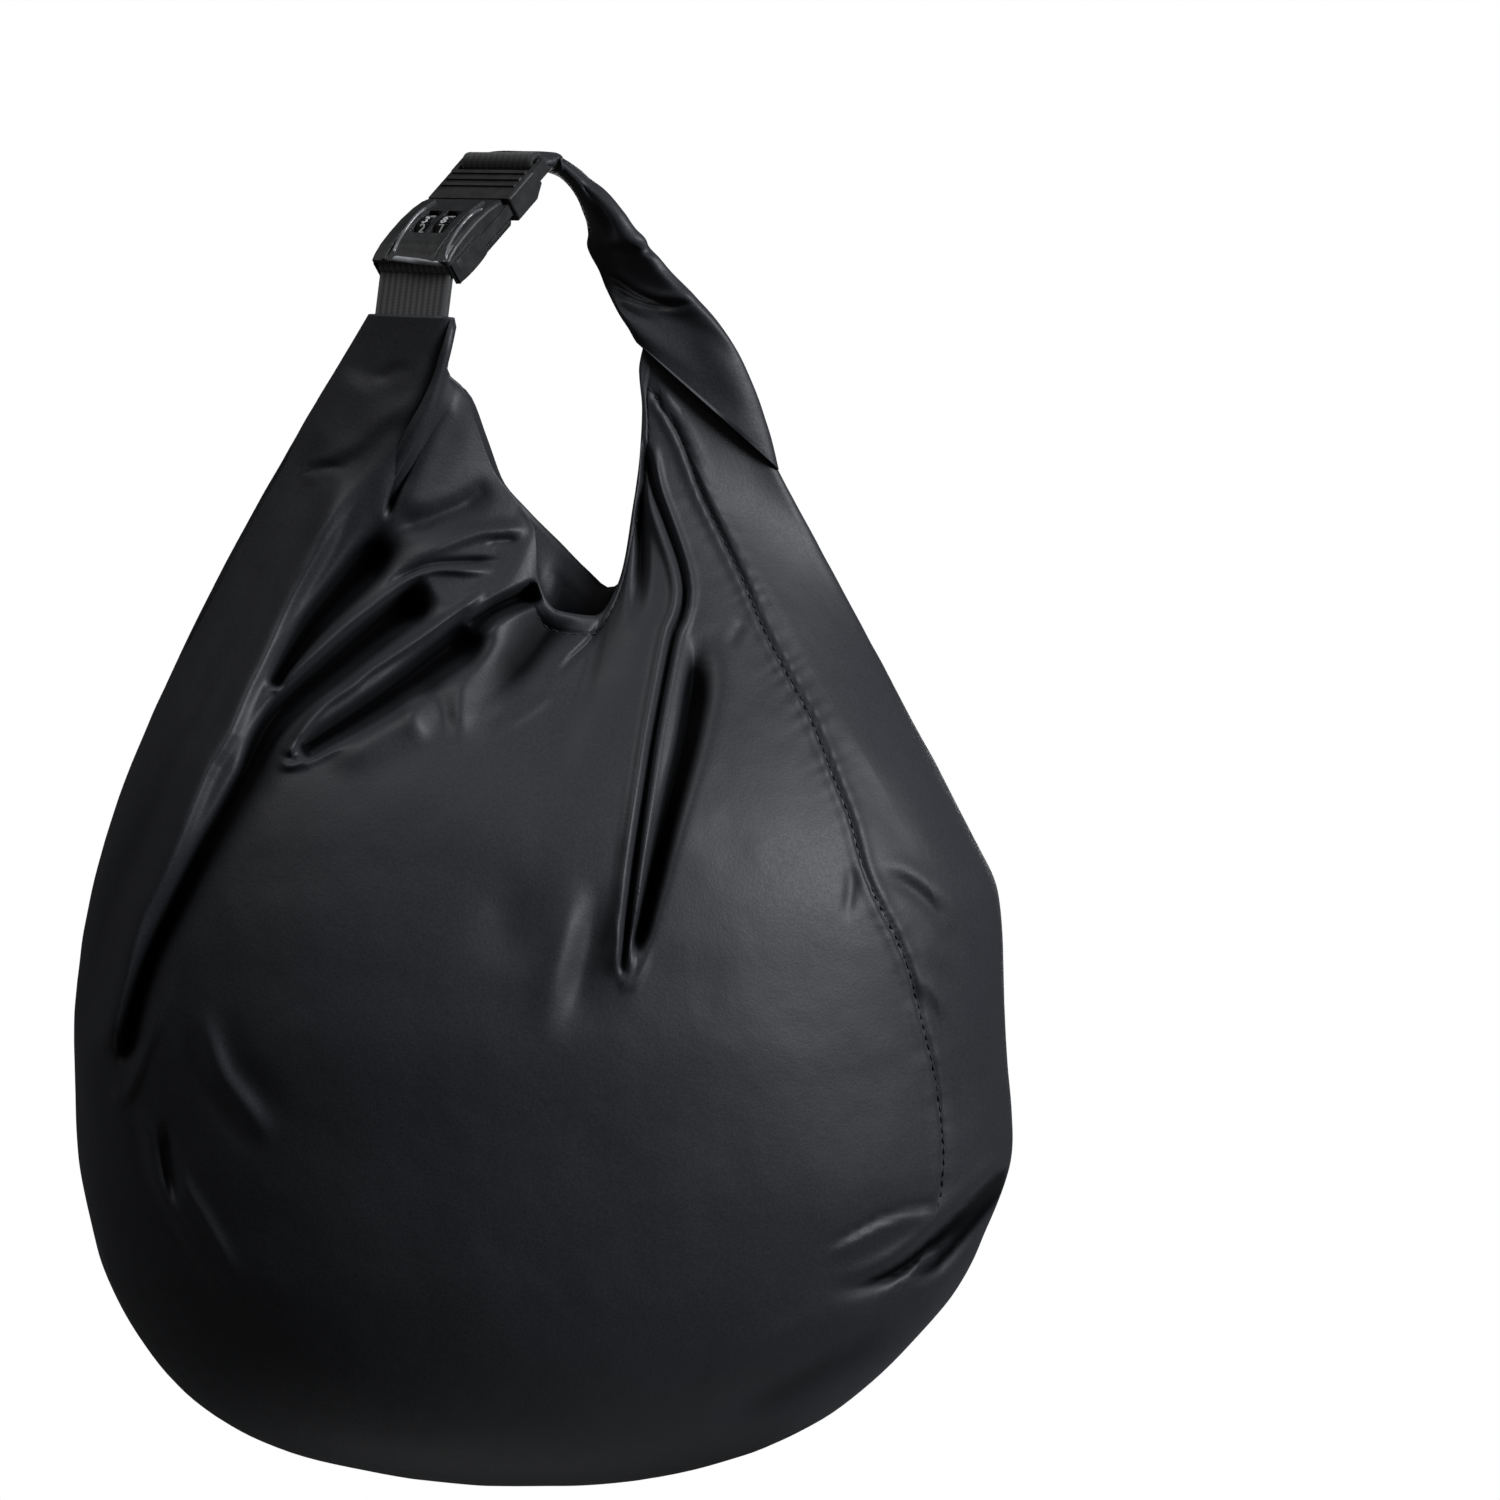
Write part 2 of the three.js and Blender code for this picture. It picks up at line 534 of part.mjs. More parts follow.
// A strap sewn back on itself round a pin: in the side view an eye with a doubled tail that leaves at an angle.
function strap_loop(pin, tail, length, thickness) {
  const eye = pin_radius + gap;
  const around = eye + thickness;
  const steps = 14;
  const lean = Math.asin(thickness / around);
  const shape = new THREE.Shape();
  const place = (forward, aside) => [
    pin.y + forward * tail.y + aside * tail.z,
    pin.z + forward * tail.z - aside * tail.y,
  ];
  shape.moveTo(...place(length, -thickness));
  shape.lineTo(...place(length, thickness));
  for (let i = 0; i <= steps; i++) {
    const angle = lean + ((2 * Math.PI - 2 * lean) * i) / steps;
    shape.lineTo(...place(around * Math.cos(angle), around * Math.sin(angle)));
  }
  const hole = new THREE.Path();
  for (let i = 0; i < steps; i++) {
    const angle = (-2 * Math.PI * i) / steps;
    const point = place(eye * Math.cos(angle), eye * Math.sin(angle));
    if (i === 0) hole.moveTo(...point);
    else hole.lineTo(...point);
  }
  hole.closePath();
  shape.holes.push(hole);
  return carried_across(shape, -webbing_width / 2, webbing_width / 2, 0);
}

// The lock: a domed housing with two rails, a window for the dials, and channels for the arms of the clip.
const dome = -lock_dome;
const lock_side = [
  [buckle_thickness - 1.5, 0],
  [buckle_thickness, 2],
  [buckle_thickness, lock_length - 1.5],
  [buckle_thickness - 1.5, lock_length],
  [dome * 0.24, lock_length],
  [dome * 0.52, lock_length - 3],
  [dome * 0.82, lock_length - 9],
  [dome, lock_length - 17],
  [dome, lock_length - 25],
  [dome * 0.9, lock_length - 32],
  [dome * 0.66, lock_length - 37],
  [dome * 0.4, 0],
];
const inside_half = webbing_width / 2 + gap;
const half = lock_width / 2;
const clip_half = clip_width / 2;
const axle_y = dome - dial_stand + dial_radius;
const pocket_radius = dial_radius + running_gap;
const pocket_half = dial_width / 2 + running_gap;
const arm_outer = inside_half + 1.1;
const arm_inner = arm_outer - arm_width;
const arm_y = buckle_thickness / 2 - 0.3;

function lock_housing() {
  let body = solid(carried_across(profile(lock_side), -half, half, edge_round));
  const rail = lock_side
    .filter(([y]) => y < dome * 0.3)
    .map(([y, z]) => [y - rail_height, z]);
  const rail_back = rail.map(([y, z]) => [y + rail_height * 2, z]).reverse();
  for (const side of [-1, 1]) {
    const x = side * rail_offset;
    body = body.add(
      solid(carried_across(profile([...rail, ...rail_back].reverse()), x - rail_width / 2, x + rail_width / 2, 0)),
    );
  }
  body = body.subtract(block(-inside_half, inside_half, -0.4, buckle_thickness + 1, -1, 7));
  body = body.add(rod(pin_radius, -inside_half - 0.5, inside_half + 0.5, lock_pin.y, lock_pin.z, 16));
  for (let i = 0; i < dial_count; i++) {
    const x = dial_x(i);
    const low = dial_height - pocket_radius;
    const high = dial_height + pocket_radius;
    body = body.subtract(block(x - pocket_half, x + pocket_half, dome - 3, axle_y + pocket_radius, low, high));
  }
  body = body.subtract(rod(axle_radius + gap / 2, -axle_length / 2 - gap, axle_length / 2 + gap, axle_y, dial_height, 16));
  const channel = arm_depth / 2 + running_gap;
  const pad_channel = pad_depth / 2 + running_gap;
  const split = pad_length + 1 + running_gap;
  for (const side of [-1, 1]) {
    const cut_from = side * (arm_inner - running_gap);
    const cut_to = side * (half + 1);
    const [x0, x1] = [Math.min(cut_from, cut_to), Math.max(cut_from, cut_to)];
    const pad_from = side * (arm_outer + gap);
    const [p0, p1] = [Math.min(pad_from, cut_to), Math.max(pad_from, cut_to)];
    body = body.subtract(block(x0, x1, arm_y - channel, arm_y + channel, pad_length - 4, lock_length + 1));
    body = body.subtract(block(p0, p1, arm_y - pad_channel, arm_y + pad_channel, 0.6, split));
  }
  return geometry_of(body);
}

// The clip: a ribbed body, an arm down each side of the lock with a pad to press, and the pin for the handle.
function clip() {
  const start = lock_length + clip_gap;
  const end = start + clip_length;
  const side_view = [
    [buckle_thickness, start],
    [buckle_thickness, end - 6],
    [buckle_thickness - 3.5, end],
    [1.2, end],
    [0, end - 1.4],
    [0, start],
  ];
  let body = solid(carried_across(profile(side_view), -clip_half, clip_half, 1));
  for (let i = 0; i < rib_count; i++) {
    const z = end - 3.6 - i * rib_pitch;
    body = body.add(block(-clip_half + 2.4, clip_half - 2.4, -rib_height, 1.5, z - rib_width / 2, z + rib_width / 2));
  }
  for (const side of [-1, 1]) {
    const [c0, c1] = side < 0 ? [-clip_half, -inside_half] : [inside_half, clip_half];
    body = body.add(block(c0, c1, 0.2, 6, end - 2, end + cheek_height));
    const [a0, a1] = side < 0 ? [-arm_outer, -arm_inner] : [arm_inner, arm_outer];
    const [j0, j1] = side < 0 ? [-arm_outer - 1, -arm_inner] : [arm_inner, arm_outer + 1];
    const near = arm_y - arm_depth / 2;
    const far = arm_y + arm_depth / 2;
    body = body.add(block(a0, a1, near, far, pad_length - 3, start + 2));
    body = body.add(block(j0, j1, near, far, pad_length - 3, pad_length + 0.5));
    body = body.add(pad(side));
  }
  body = body.add(rod(pin_radius, -inside_half - 0.5, inside_half + 0.5, clip_pin.y, clip_pin.z, 16));
  return geometry_of(body);
}

// A pad seen from the side is a lens: round at both ends, bulging outwards.
function pad(side) {
  const outer = half + pad_width - 1;
  const inner = arm_outer + gap;
  const foot = inner + 0.4;
  const points = [];
  const steps = 8;
  for (let i = 0; i <= steps; i++) {
    const t = i / steps;
    points.push(new THREE.Vector2(foot + (outer - foot) * Math.sin(Math.PI * t) ** 0.6, 1 + pad_length * t));
  }
  points.push(new THREE.Vector2(inner, 1 + pad_length));
  points.push(new THREE.Vector2(inner, 1));
  const geometry = new THREE.ExtrudeGeometry(new THREE.Shape(points), { depth: pad_depth, bevelEnabled: false });
  const turn = new THREE.Matrix4().makeBasis(
    new THREE.Vector3(1, 0, 0),
    new THREE.Vector3(0, 0, 1),
    new THREE.Vector3(0, -1, 0),
  );
  geometry.applyMatrix4(turn).translate(0, arm_y + pad_depth / 2, 0);
  const right = solid(geometry);
  return side > 0 ? right : right.mirror([1, 0, 0]);
}

function dial_x(i) {
  return (i - (dial_count - 1) / 2) * dial_pitch;
}

function dial(i) {
  const shape = new THREE.Shape();
  for (let k = 0; k < dial_facets; k++) {
    const angle = (2 * Math.PI * (k + 0.5)) / dial_facets;
    const point = [axle_y + dial_radius * Math.cos(angle), dial_height + dial_radius * Math.sin(angle)];
    if (k === 0) shape.moveTo(...point);
    else shape.lineTo(...point);
  }
  shape.closePath();
  const hole = new THREE.Path();
  hole.absarc(axle_y, dial_height, axle_radius + gap, 0, 2 * Math.PI, true);
  shape.holes.push(hole);
  const x = dial_x(i);
  return carried_across(shape, x - dial_width / 2, x + dial_width / 2, 0);
}

// Assembly.
const group = new THREE.Group();
const buckle = new THREE.Group();
buckle.position.copy(buckle_foot);
buckle.quaternion.setFromRotationMatrix(new THREE.Matrix4().makeBasis(buckle_across, buckle_in, buckle_up));
group.add(buckle);

const black_cloth = new THREE.MeshStandardMaterial({ color: 0x1a1b1d, roughness: 0.5, metalness: 0 });
const black_webbing = new THREE.MeshStandardMaterial({ color: 0x242527, roughness: 0.7, metalness: 0 });
const gloss_black = new THREE.MeshStandardMaterial({ color: 0x101113, roughness: 0.15, metalness: 0 });
const matte_black = new THREE.MeshStandardMaterial({ color: 0x1b1c1e, roughness: 0.35, metalness: 0 });
const steel = new THREE.MeshStandardMaterial({ color: 0x9a9c9f, roughness: 0.3, metalness: 1 });

function add(name, geometry, material, parent) {
  const mesh = new THREE.Mesh(geometry, material);
  mesh.name = name;
  parent.add(mesh);
}

const fall_in_buckle = { y: fall.dot(buckle_in), z: fall.dot(buckle_up) };
const bend = THREE.MathUtils.degToRad(handle_bend);
const tail_in_buckle = { y: Math.sin(bend), z: Math.cos(bend) };

add("bag_shell", bag_shell(), black_cloth, group);
add("handle_sleeve", handle_sleeve(), black_cloth, group);
const lower_strap = strap_loop(lock_pin, fall_in_buckle, webbing_drop + webbing_tuck, webbing_thickness);
const upper_strap = strap_loop(clip_pin, tail_in_buckle, handle_tail, handle_fold);
add("lower_strap", lower_strap, black_webbing, buckle);
add("upper_strap", upper_strap, black_webbing, buckle);
add("lock_housing", lock_housing(), gloss_black, buckle);
add("clip", clip(), matte_black, buckle);
add("dial_axle", geometry_of(rod(axle_radius, -axle_length / 2, axle_length / 2, axle_y, dial_height, 16)), steel, buckle);
for (let i = 0; i < dial_count; i++) add(i === 0 ? "dial_left" : "dial_right", dial(i), gloss_black, buckle);

export default group;
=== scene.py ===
"""A soft helmet bag that hangs by its own twisted handle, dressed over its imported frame.

Lengths in the tables are millimetres, or pixels of the 1500 x 1500 picture where they say so.
Meshes are in metres.
"""

import math

import bpy
import numpy as np
from bpy.props import FloatProperty, FloatVectorProperty, IntProperty, PointerProperty
from bpy.types import Operator, Panel, PropertyGroup
from mathutils import Matrix, Vector
from mathutils.bvhtree import BVHTree


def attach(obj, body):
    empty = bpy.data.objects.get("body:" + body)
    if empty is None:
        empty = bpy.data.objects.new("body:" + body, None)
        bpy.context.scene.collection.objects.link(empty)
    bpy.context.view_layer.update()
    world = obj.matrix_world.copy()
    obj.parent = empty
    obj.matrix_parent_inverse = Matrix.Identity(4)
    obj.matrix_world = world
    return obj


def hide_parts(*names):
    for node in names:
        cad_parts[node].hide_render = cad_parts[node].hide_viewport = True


bl_info = {
    "name": "Helmet bag",
    "version": (1, 0, 0),
    "blender": (4, 5, 0),
    "location": "3D View > Sidebar > Helmet bag",
    "description": "Makes the cloth, straps, buckle finishes and studio of a hanging helmet bag",
    "category": "Add Mesh",
}

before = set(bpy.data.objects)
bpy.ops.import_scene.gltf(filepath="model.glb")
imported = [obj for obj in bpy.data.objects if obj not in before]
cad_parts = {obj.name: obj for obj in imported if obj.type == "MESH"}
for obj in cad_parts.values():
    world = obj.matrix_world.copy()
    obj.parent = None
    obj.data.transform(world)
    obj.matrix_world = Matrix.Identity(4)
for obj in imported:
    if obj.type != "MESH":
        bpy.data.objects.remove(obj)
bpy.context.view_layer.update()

PICTURE = 1500
MM_PER_PIXEL = 0.4


# Curves and tables


def table(names, rows):
    """Rows of numbers as a dictionary of columns."""
    values = np.array(rows, float)
    return {name: values[:, i] for i, name in enumerate(names.split())}


def hermite(start, leave, end, arrive, t):
    """The cubic that leaves start at one slope and arrives at end at another."""
    t2, t3 = t * t, t * t * t
    from_start = (2 * t3 - 3 * t2 + 1) * start + (t3 - 2 * t2 + t) * leave
    return from_start + (3 * t2 - 2 * t3) * end + (t3 - t2) * arrive


def curve(x, y, at):
    """Monotone cubic through the points (x, y): harmonic mean slopes, so that it never overshoots."""
    slope = np.diff(y) / np.diff(x)
    tangent = np.zeros_like(y)
    tangent[0], tangent[-1] = slope[0], slope[-1]
    both = slope[:-1] * slope[1:]
    total = slope[:-1] + slope[1:]
    rising = both > 0
    tangent[1:-1][rising] = 2 * both[rising] / total[rising]
    at = np.clip(at, x[0], x[-1])
    k = np.clip(np.searchsorted(x, at, side="right") - 1, 0, len(x) - 2)
    step = x[k + 1] - x[k]
    return hermite(y[k], tangent[k] * step, y[k + 1], tangent[k + 1] * step, (at - x[k]) / step)


def smooth(t, low, high):
    """Smooth step from 0 at low to 1 at high."""
    t = np.clip((t - low) / (high - low), 0, 1)
    return t * t * (3 - 2 * t)


def unit(v):
    """Vectors scaled to length one."""
    return v / np.maximum(np.linalg.norm(v, axis=-1, keepdims=True), 1e-12)


def dot(a, b):
    """Dot products of rows of vectors."""
    return np.sum(a * b, axis=-1)


def spline(points, count):
    """Points at even steps of length along a cubic curve through the given ones, with centred slopes."""
    p = np.array(points, float)
    ahead = np.vstack([2 * p[0] - p[1], p, 2 * p[-1] - p[-2]])
    slope = (ahead[2:] - ahead[:-2]) / 2
    t = np.linspace(0, 1, 24, endpoint=False)[:, None, None]
    parts = hermite(p[None, :-1], slope[None, :-1], p[None, 1:], slope[None, 1:], t)
    line = np.vstack([parts.transpose(1, 0, 2).reshape(-1, p.shape[1]), p[-1:]])
    length = np.concatenate([[0], np.cumsum(np.linalg.norm(np.diff(line, axis=0), axis=1))])
    at = np.linspace(0, length[-1], count)
    return np.stack([np.interp(at, length, line[:, i]) for i in range(p.shape[1])], axis=1)


def lattice_noise(points, size, seed):
    """Smooth noise from -1 to 1: random values on a cube lattice of that size, blended by smooth steps."""
    rng = np.random.default_rng(seed)
    values = rng.uniform(-1, 1, (32, 32, 32))
    q = points / size + 1000
    base = np.floor(q).astype(int)
    f = q - base
    f = f * f * (3 - 2 * f)
    total = np.zeros(points.shape[:-1])
    for dx in (0, 1):
        for dy in (0, 1):
            for dz in (0, 1):
                i = (base + [dx, dy, dz]) % 32
                weight = np.abs(1 - dx - f[..., 0]) * np.abs(1 - dy - f[..., 1]) * np.abs(1 - dz - f[...,
                    2])
                total += weight * values[i[..., 0], i[..., 1], i[..., 2]]
    return total


# The camera's view

VIEW_CENTRE = np.array([78.8, 0.0, -231.6])
VIEW_DISTANCE = 2400.0
VIEW_DOWN = math.radians(2)
EYE = VIEW_CENTRE + [0, -VIEW_DISTANCE, VIEW_DISTANCE * math.tan(VIEW_DOWN)]
SIGHT = np.array([0, math.cos(VIEW_DOWN), -math.sin(VIEW_DOWN)])
SIGHT_UP = np.array([0, math.sin(VIEW_DOWN), math.cos(VIEW_DOWN)])
FOCUS = VIEW_DISTANCE / math.cos(VIEW_DOWN)


def seen(points):
    """Where points of the bag, in millimetres, are seen in the picture, in pixels."""
    d = points - EYE
    depth = d @ SIGHT
    right = d[..., 0] * FOCUS / depth
    up = (d @ SIGHT_UP) * FOCUS / depth
    return np.stack([PICTURE / 2 + right / MM_PER_PIXEL, PICTURE / 2 - up / MM_PER_PIXEL], axis=-1)


# The form of the cloth body

# The buckle leans back and turns its face to the left as the handle twists.
BUCKLE_FOOT = np.array([-54.4, -44.4, -39.8])
ACROSS = unit(np.array([0.764, -0.644, -0.047]))
LEAN = np.array([0.48, 0.59, 0.65])
INWARDS = unit(np.cross(LEAN, ACROSS))
ALONG = unit(np.cross(ACROSS, INWARDS))
FALL = np.array([-0.2, 0, -0.98])
FALL = unit(FALL - ACROSS * dot(FALL, ACROSS))
EAR_NORMAL = unit(np.cross(ACROSS, FALL))
LOCK_PIN = (3.2, 3.2)
CLIP_PIN = (1.5, 66.5)
PIN_RADIUS = 1.6
GAP = 0.3


def buckle_point(p):
    """Points of the buckle's own frame (across, inwards, along) in the frame of the bag."""
    p = np.asarray(p, float)
    return BUCKLE_FOOT + p[..., :1] * ACROSS + p[..., 1:2] * INWARDS + p[..., 2:3] * ALONG


# The body in level sections. climb runs up the side. drop is a share of the body's height, left and right
# are shares of its width from the centre line, and depth of its depth.
BODY = table(
    "climb drop left right depth",
    [
        [0, 1, 0, 0, 0],
        [0.134, 0.989, 0.14, 0.137, 0.172],
        [0.268, 0.96, 0.271, 0.233, 0.31],
        [0.337, 0.932, 0.336, 0.289, 0.366],
        [0.384, 0.904, 0.375, 0.329, 0.4],
        [0.455, 0.847, 0.425, 0.389, 0.442],
        [0.516, 0.79, 0.456, 0.437, 0.468],
        [0.574, 0.734, 0.477, 0.466, 0.485],
        [0.679, 0.621, 0.497, 0.499, 0.498],
        [0.784, 0.508, 0.5, 0.492, 0.5],
        [0.889, 0.395, 0.491, 0.49, 0.48],
        [0.945, 0.339, 0.482, 0.485, 0.462],
        [1, 0.282, 0.467, 0.46, 0.437],
    ],
)
BODY_CENTRE = (-3.0, -12.0)
SQUARENESS = 2.15


def body_surface(size, turn, climb):
    """Superellipse sections of exponent SQUARENESS, whose half sizes follow the BODY table up the climb."""
    left = curve(BODY["climb"], BODY["left"], climb) * size["bag_width"]
    right = curve(BODY["climb"], BODY["right"], climb) * size["bag_width"]
    depth = curve(BODY["climb"], BODY["depth"], climb) * size["bag_depth"]
    drop = curve(BODY["climb"], BODY["drop"], climb) * size["body_height"]
    c, s = np.cos(np.radians(turn)), np.sin(np.radians(turn))
    reach = (np.abs(c) ** SQUARENESS + np.abs(s) ** SQUARENESS) ** (-1 / SQUARENESS)
    return np.stack(
        [
            BODY_CENTRE[0] + (right - left) / 2 - (right + left) / 2 * c * reach,
            BODY_CENTRE[1] - depth * s * reach,
            -size["handle_drop"] - drop + 0 * turn,
        ],
        axis=-1,
    )


# The rim of the mouth between the ears: turn in degrees round the bag, across, drop and mid as shares of the
# handle's drop, and open as a share of half the mouth's gap.
RIM_FRONT = table(
    "turn across drop mid open",
    [
        [34, -0.24, 0.479, -0.31, 0.02],
        [39, -0.198, 0.526, -0.28, 0.06],
        [48, -0.162, 0.629, -0.22, 0.18],
        [56, -0.126, 0.721, -0.17, 0.36],
        [63, -0.074, 0.788, -0.13, 0.56],
        [70, -0.031, 0.867, -0.1, 0.82],
        [77, -0.024, 0.962, -0.08, 1],
        [84, 0.017, 1.04, -0.08, 1],
        [92, 0.107, 1.055, -0.07, 0.94],
        [98, 0.152, 1, -0.07, 0.8],
        [105, 0.176, 0.926, -0.07, 0.62],
        [114, 0.193, 0.807, -0.07, 0.38],
        [126, 0.21, 0.664, -0.07, 0.2],
        [134, 0.214, 0.569, -0.07, 0.12],
        [141, 0.207, 0.479, -0.07, 0.09],
    ],
)
RIM_BACK = table(
    "turn across drop mid open",
    [
        [35, -0.24, 0.479, -0.31, 0.02],
        [42, -0.188, 0.54, -0.27, 0.06],
        [51, -0.155, 0.633, -0.21, 0.16],
        [60, -0.119, 0.736, -0.15, 0.3],
        [69, -0.055, 0.812, -0.1, 0.25],
        [78, 0.017, 0.886, -0.08, 0.1],
        [87, 0.088, 0.957, -0.07, -0.1],
        [93, 0.138, 0.995, -0.07, -0.2],
        [98, 0.174, 0.962, -0.07, -0.1],
        [105, 0.19, 0.879, -0.07, 0.1],
        [115, 0.207, 0.76, -0.07, 0.14],
        [128, 0.219, 0.617, -0.07, 0.16],
        [137, 0.221, 0.51, -0.07, 0.1],
    ],
)
# The direction in which the shoulder's cloth arrives at the rim, at turns round the bag.
ARRIVALS = table(
    "turn x y z",
    [
        [0, 0.67, -0.06, 0.75],
        [24, 0.25, -0.1, 1],
        [60, 0.3, 0.3, 0.8],
        [98, 0.1, 0.75, 0.85],
        [125, -0.15, 0.35, 0.9],
        [146, -0.3, 0, 0.9],
        [180, -0.45, 0, 0.85],
    ],
)
EAR_TURN, SLEEVE_TURN = 24.0, 146.0
RIGHT_EAR = np.array([58.2, BODY_CENTRE[1], -84.8])
RIGHT_EAR_ACROSS = unit(np.array([0.81, 0, -0.586]))
RIGHT_EAR_HALF = (26.5, 2.6)


def ear_end(size, fold, side, left):
    """The flat oval in which an ear ends: a straight run across, rounded at both of its ends."""
    cloth, webbing = size["cloth"], size["webbing_width"]
    share = fold / EAR_TURN if left else (180 - fold) / (180 - SLEEVE_TURN)
    wrap = np.sqrt(1 - (1 - np.minimum(share / 0.12, 1)) ** 2)
    if left:
        wrap = wrap * np.sqrt(1 - 0.97 * np.clip((share - 0.9) / 0.1, 0, 1) ** 2)
        centre = buckle_point([0, LOCK_PIN[0], LOCK_PIN[1]]) + FALL * size["webbing_drop"]
        across, half = ACROSS, -(webbing / 2 + GAP + cloth + 1.8)
        thick = size["webbing_thickness"] + GAP + cloth
        out = EAR_NORMAL * (-1 if EAR_NORMAL[1] > 0 else 1)
    else:
        centre, across, half, thick = RIGHT_EAR, RIGHT_EAR_ACROSS, RIGHT_EAR_HALF[0], RIGHT_EAR_HALF[1]
        out = np.array([0.0, -1.0, 0.0])
    return centre + across * (half * (1 - 2 * share))[..., None] + out * (side * thick * wrap)[..., None]


def rim_line(size, turn):
    """The rim round the bag: each ear's end, and between them the RIM tables as monotone cubics."""
    back = turn > 180
    fold = np.where(back, 360 - turn, turn)
    side = np.where(back, -1.0, 1.0)
    points = np.zeros(turn.shape + (3,))
    for rows, sign, mask in ((RIM_FRONT, 1.0, ~back), (RIM_BACK, -1.0, back)):
        ends = [ear_end(size, np.array(t), np.array(sign), left) for t,
            left in ((EAR_TURN, True), (SLEEVE_TURN, False))]
        places = np.stack(
            [
                rows["across"] * size["handle_drop"],
                rows["mid"] * size["handle_drop"] - sign * rows["open"] * size["mouth_gap"] / 2,
                -rows["drop"] * size["handle_drop"],
            ],
            axis=1,
        )
        places = np.vstack([ends[0], places, ends[1]])
        turns = np.concatenate([[EAR_TURN], rows["turn"], [SLEEVE_TURN]])
        for i in range(3):
            points[mask, i] = curve(turns, places[:, i], fold[mask])
    left, right = fold <= EAR_TURN, fold >= SLEEVE_TURN
    points[left] = ear_end(size, fold[left], side[left], True)
    points[right] = ear_end(size, fold[right], side[right], False)
    return points


def shoulder_surface(size, turn, share):
    """Cubics from the body's top section to the rim, which leave along the body and arrive as ARRIVALS says."""
    start = body_surface(size, turn, np.ones_like(turn))
    leave = unit(start - body_surface(size, turn, np.full_like(turn, 0.98)))
    end = rim_line(size, turn)
    fold = np.where(turn > 180, 360 - turn, turn)
    side = np.where(turn > 180, -1.0, 1.0)
    arrive = np.stack([curve(ARRIVALS["turn"], ARRIVALS[k], fold) for k in "xyz"], axis=-1)
    arrive[..., 1] *= np.where(side > 0, 1, 1.9 * bell(fold, 84, 26, 26, 1) - 1)
    ear = 1 - smooth(fold, EAR_TURN, EAR_TURN + 16)
    arrive -= EAR_NORMAL * (ear * dot(arrive, EAR_NORMAL))[..., None]
    reach = np.linalg.norm(end - start, axis=-1)[..., None]
    t = share[:, None, None]
    return hermite(start[None], leave[None] * reach, end[None], arrive[None] * reach * 1.05, t)


def column_turns(front, back, ear):
    """Turns round the bag, closer together towards the outer edge of each ear."""

    def half(middle):
        i = np.arange(ear) / ear
        low = EAR_TURN * i**1.5
        mid = EAR_TURN + (SLEEVE_TURN - EAR_TURN) * np.arange(middle) / middle
        high = 180 - (180 - SLEEVE_TURN) * (1 - i) ** 1.5
        return np.concatenate([low, mid, high])

    return np.concatenate([half(front), 360 - np.concatenate([half(back), [180]])[1:][::-1]])


def surface_frame(points):
    """Outward normals of a grid that is closed round (columns) and open along (rows), rows going up."""
    round_ = np.roll(points, -1, axis=1) - np.roll(points, 1, axis=1)
    climb = np.gradient(points, axis=0)
    return unit(np.cross(round_, climb))


# Folds

def fold(path, bells, start, end, wide=(1, 1)):
    """A fold as it is seen: a path in pixels of the picture, and bells across it in millimetres.

    Each bell is (offset, width before, width after, height), and sometimes a power. Offsets are positive to
    the picture's right of a path that runs down, and below one that runs left. start and end are the shares of
    the path over which the fold fades in and out. Offsets and widths are multiplied by wide[0] at its start,
    changing evenly to wide[1] at its end.
    """
    return {"path": path, "bells": bells, "start": start, "end": end, "wide": wide}


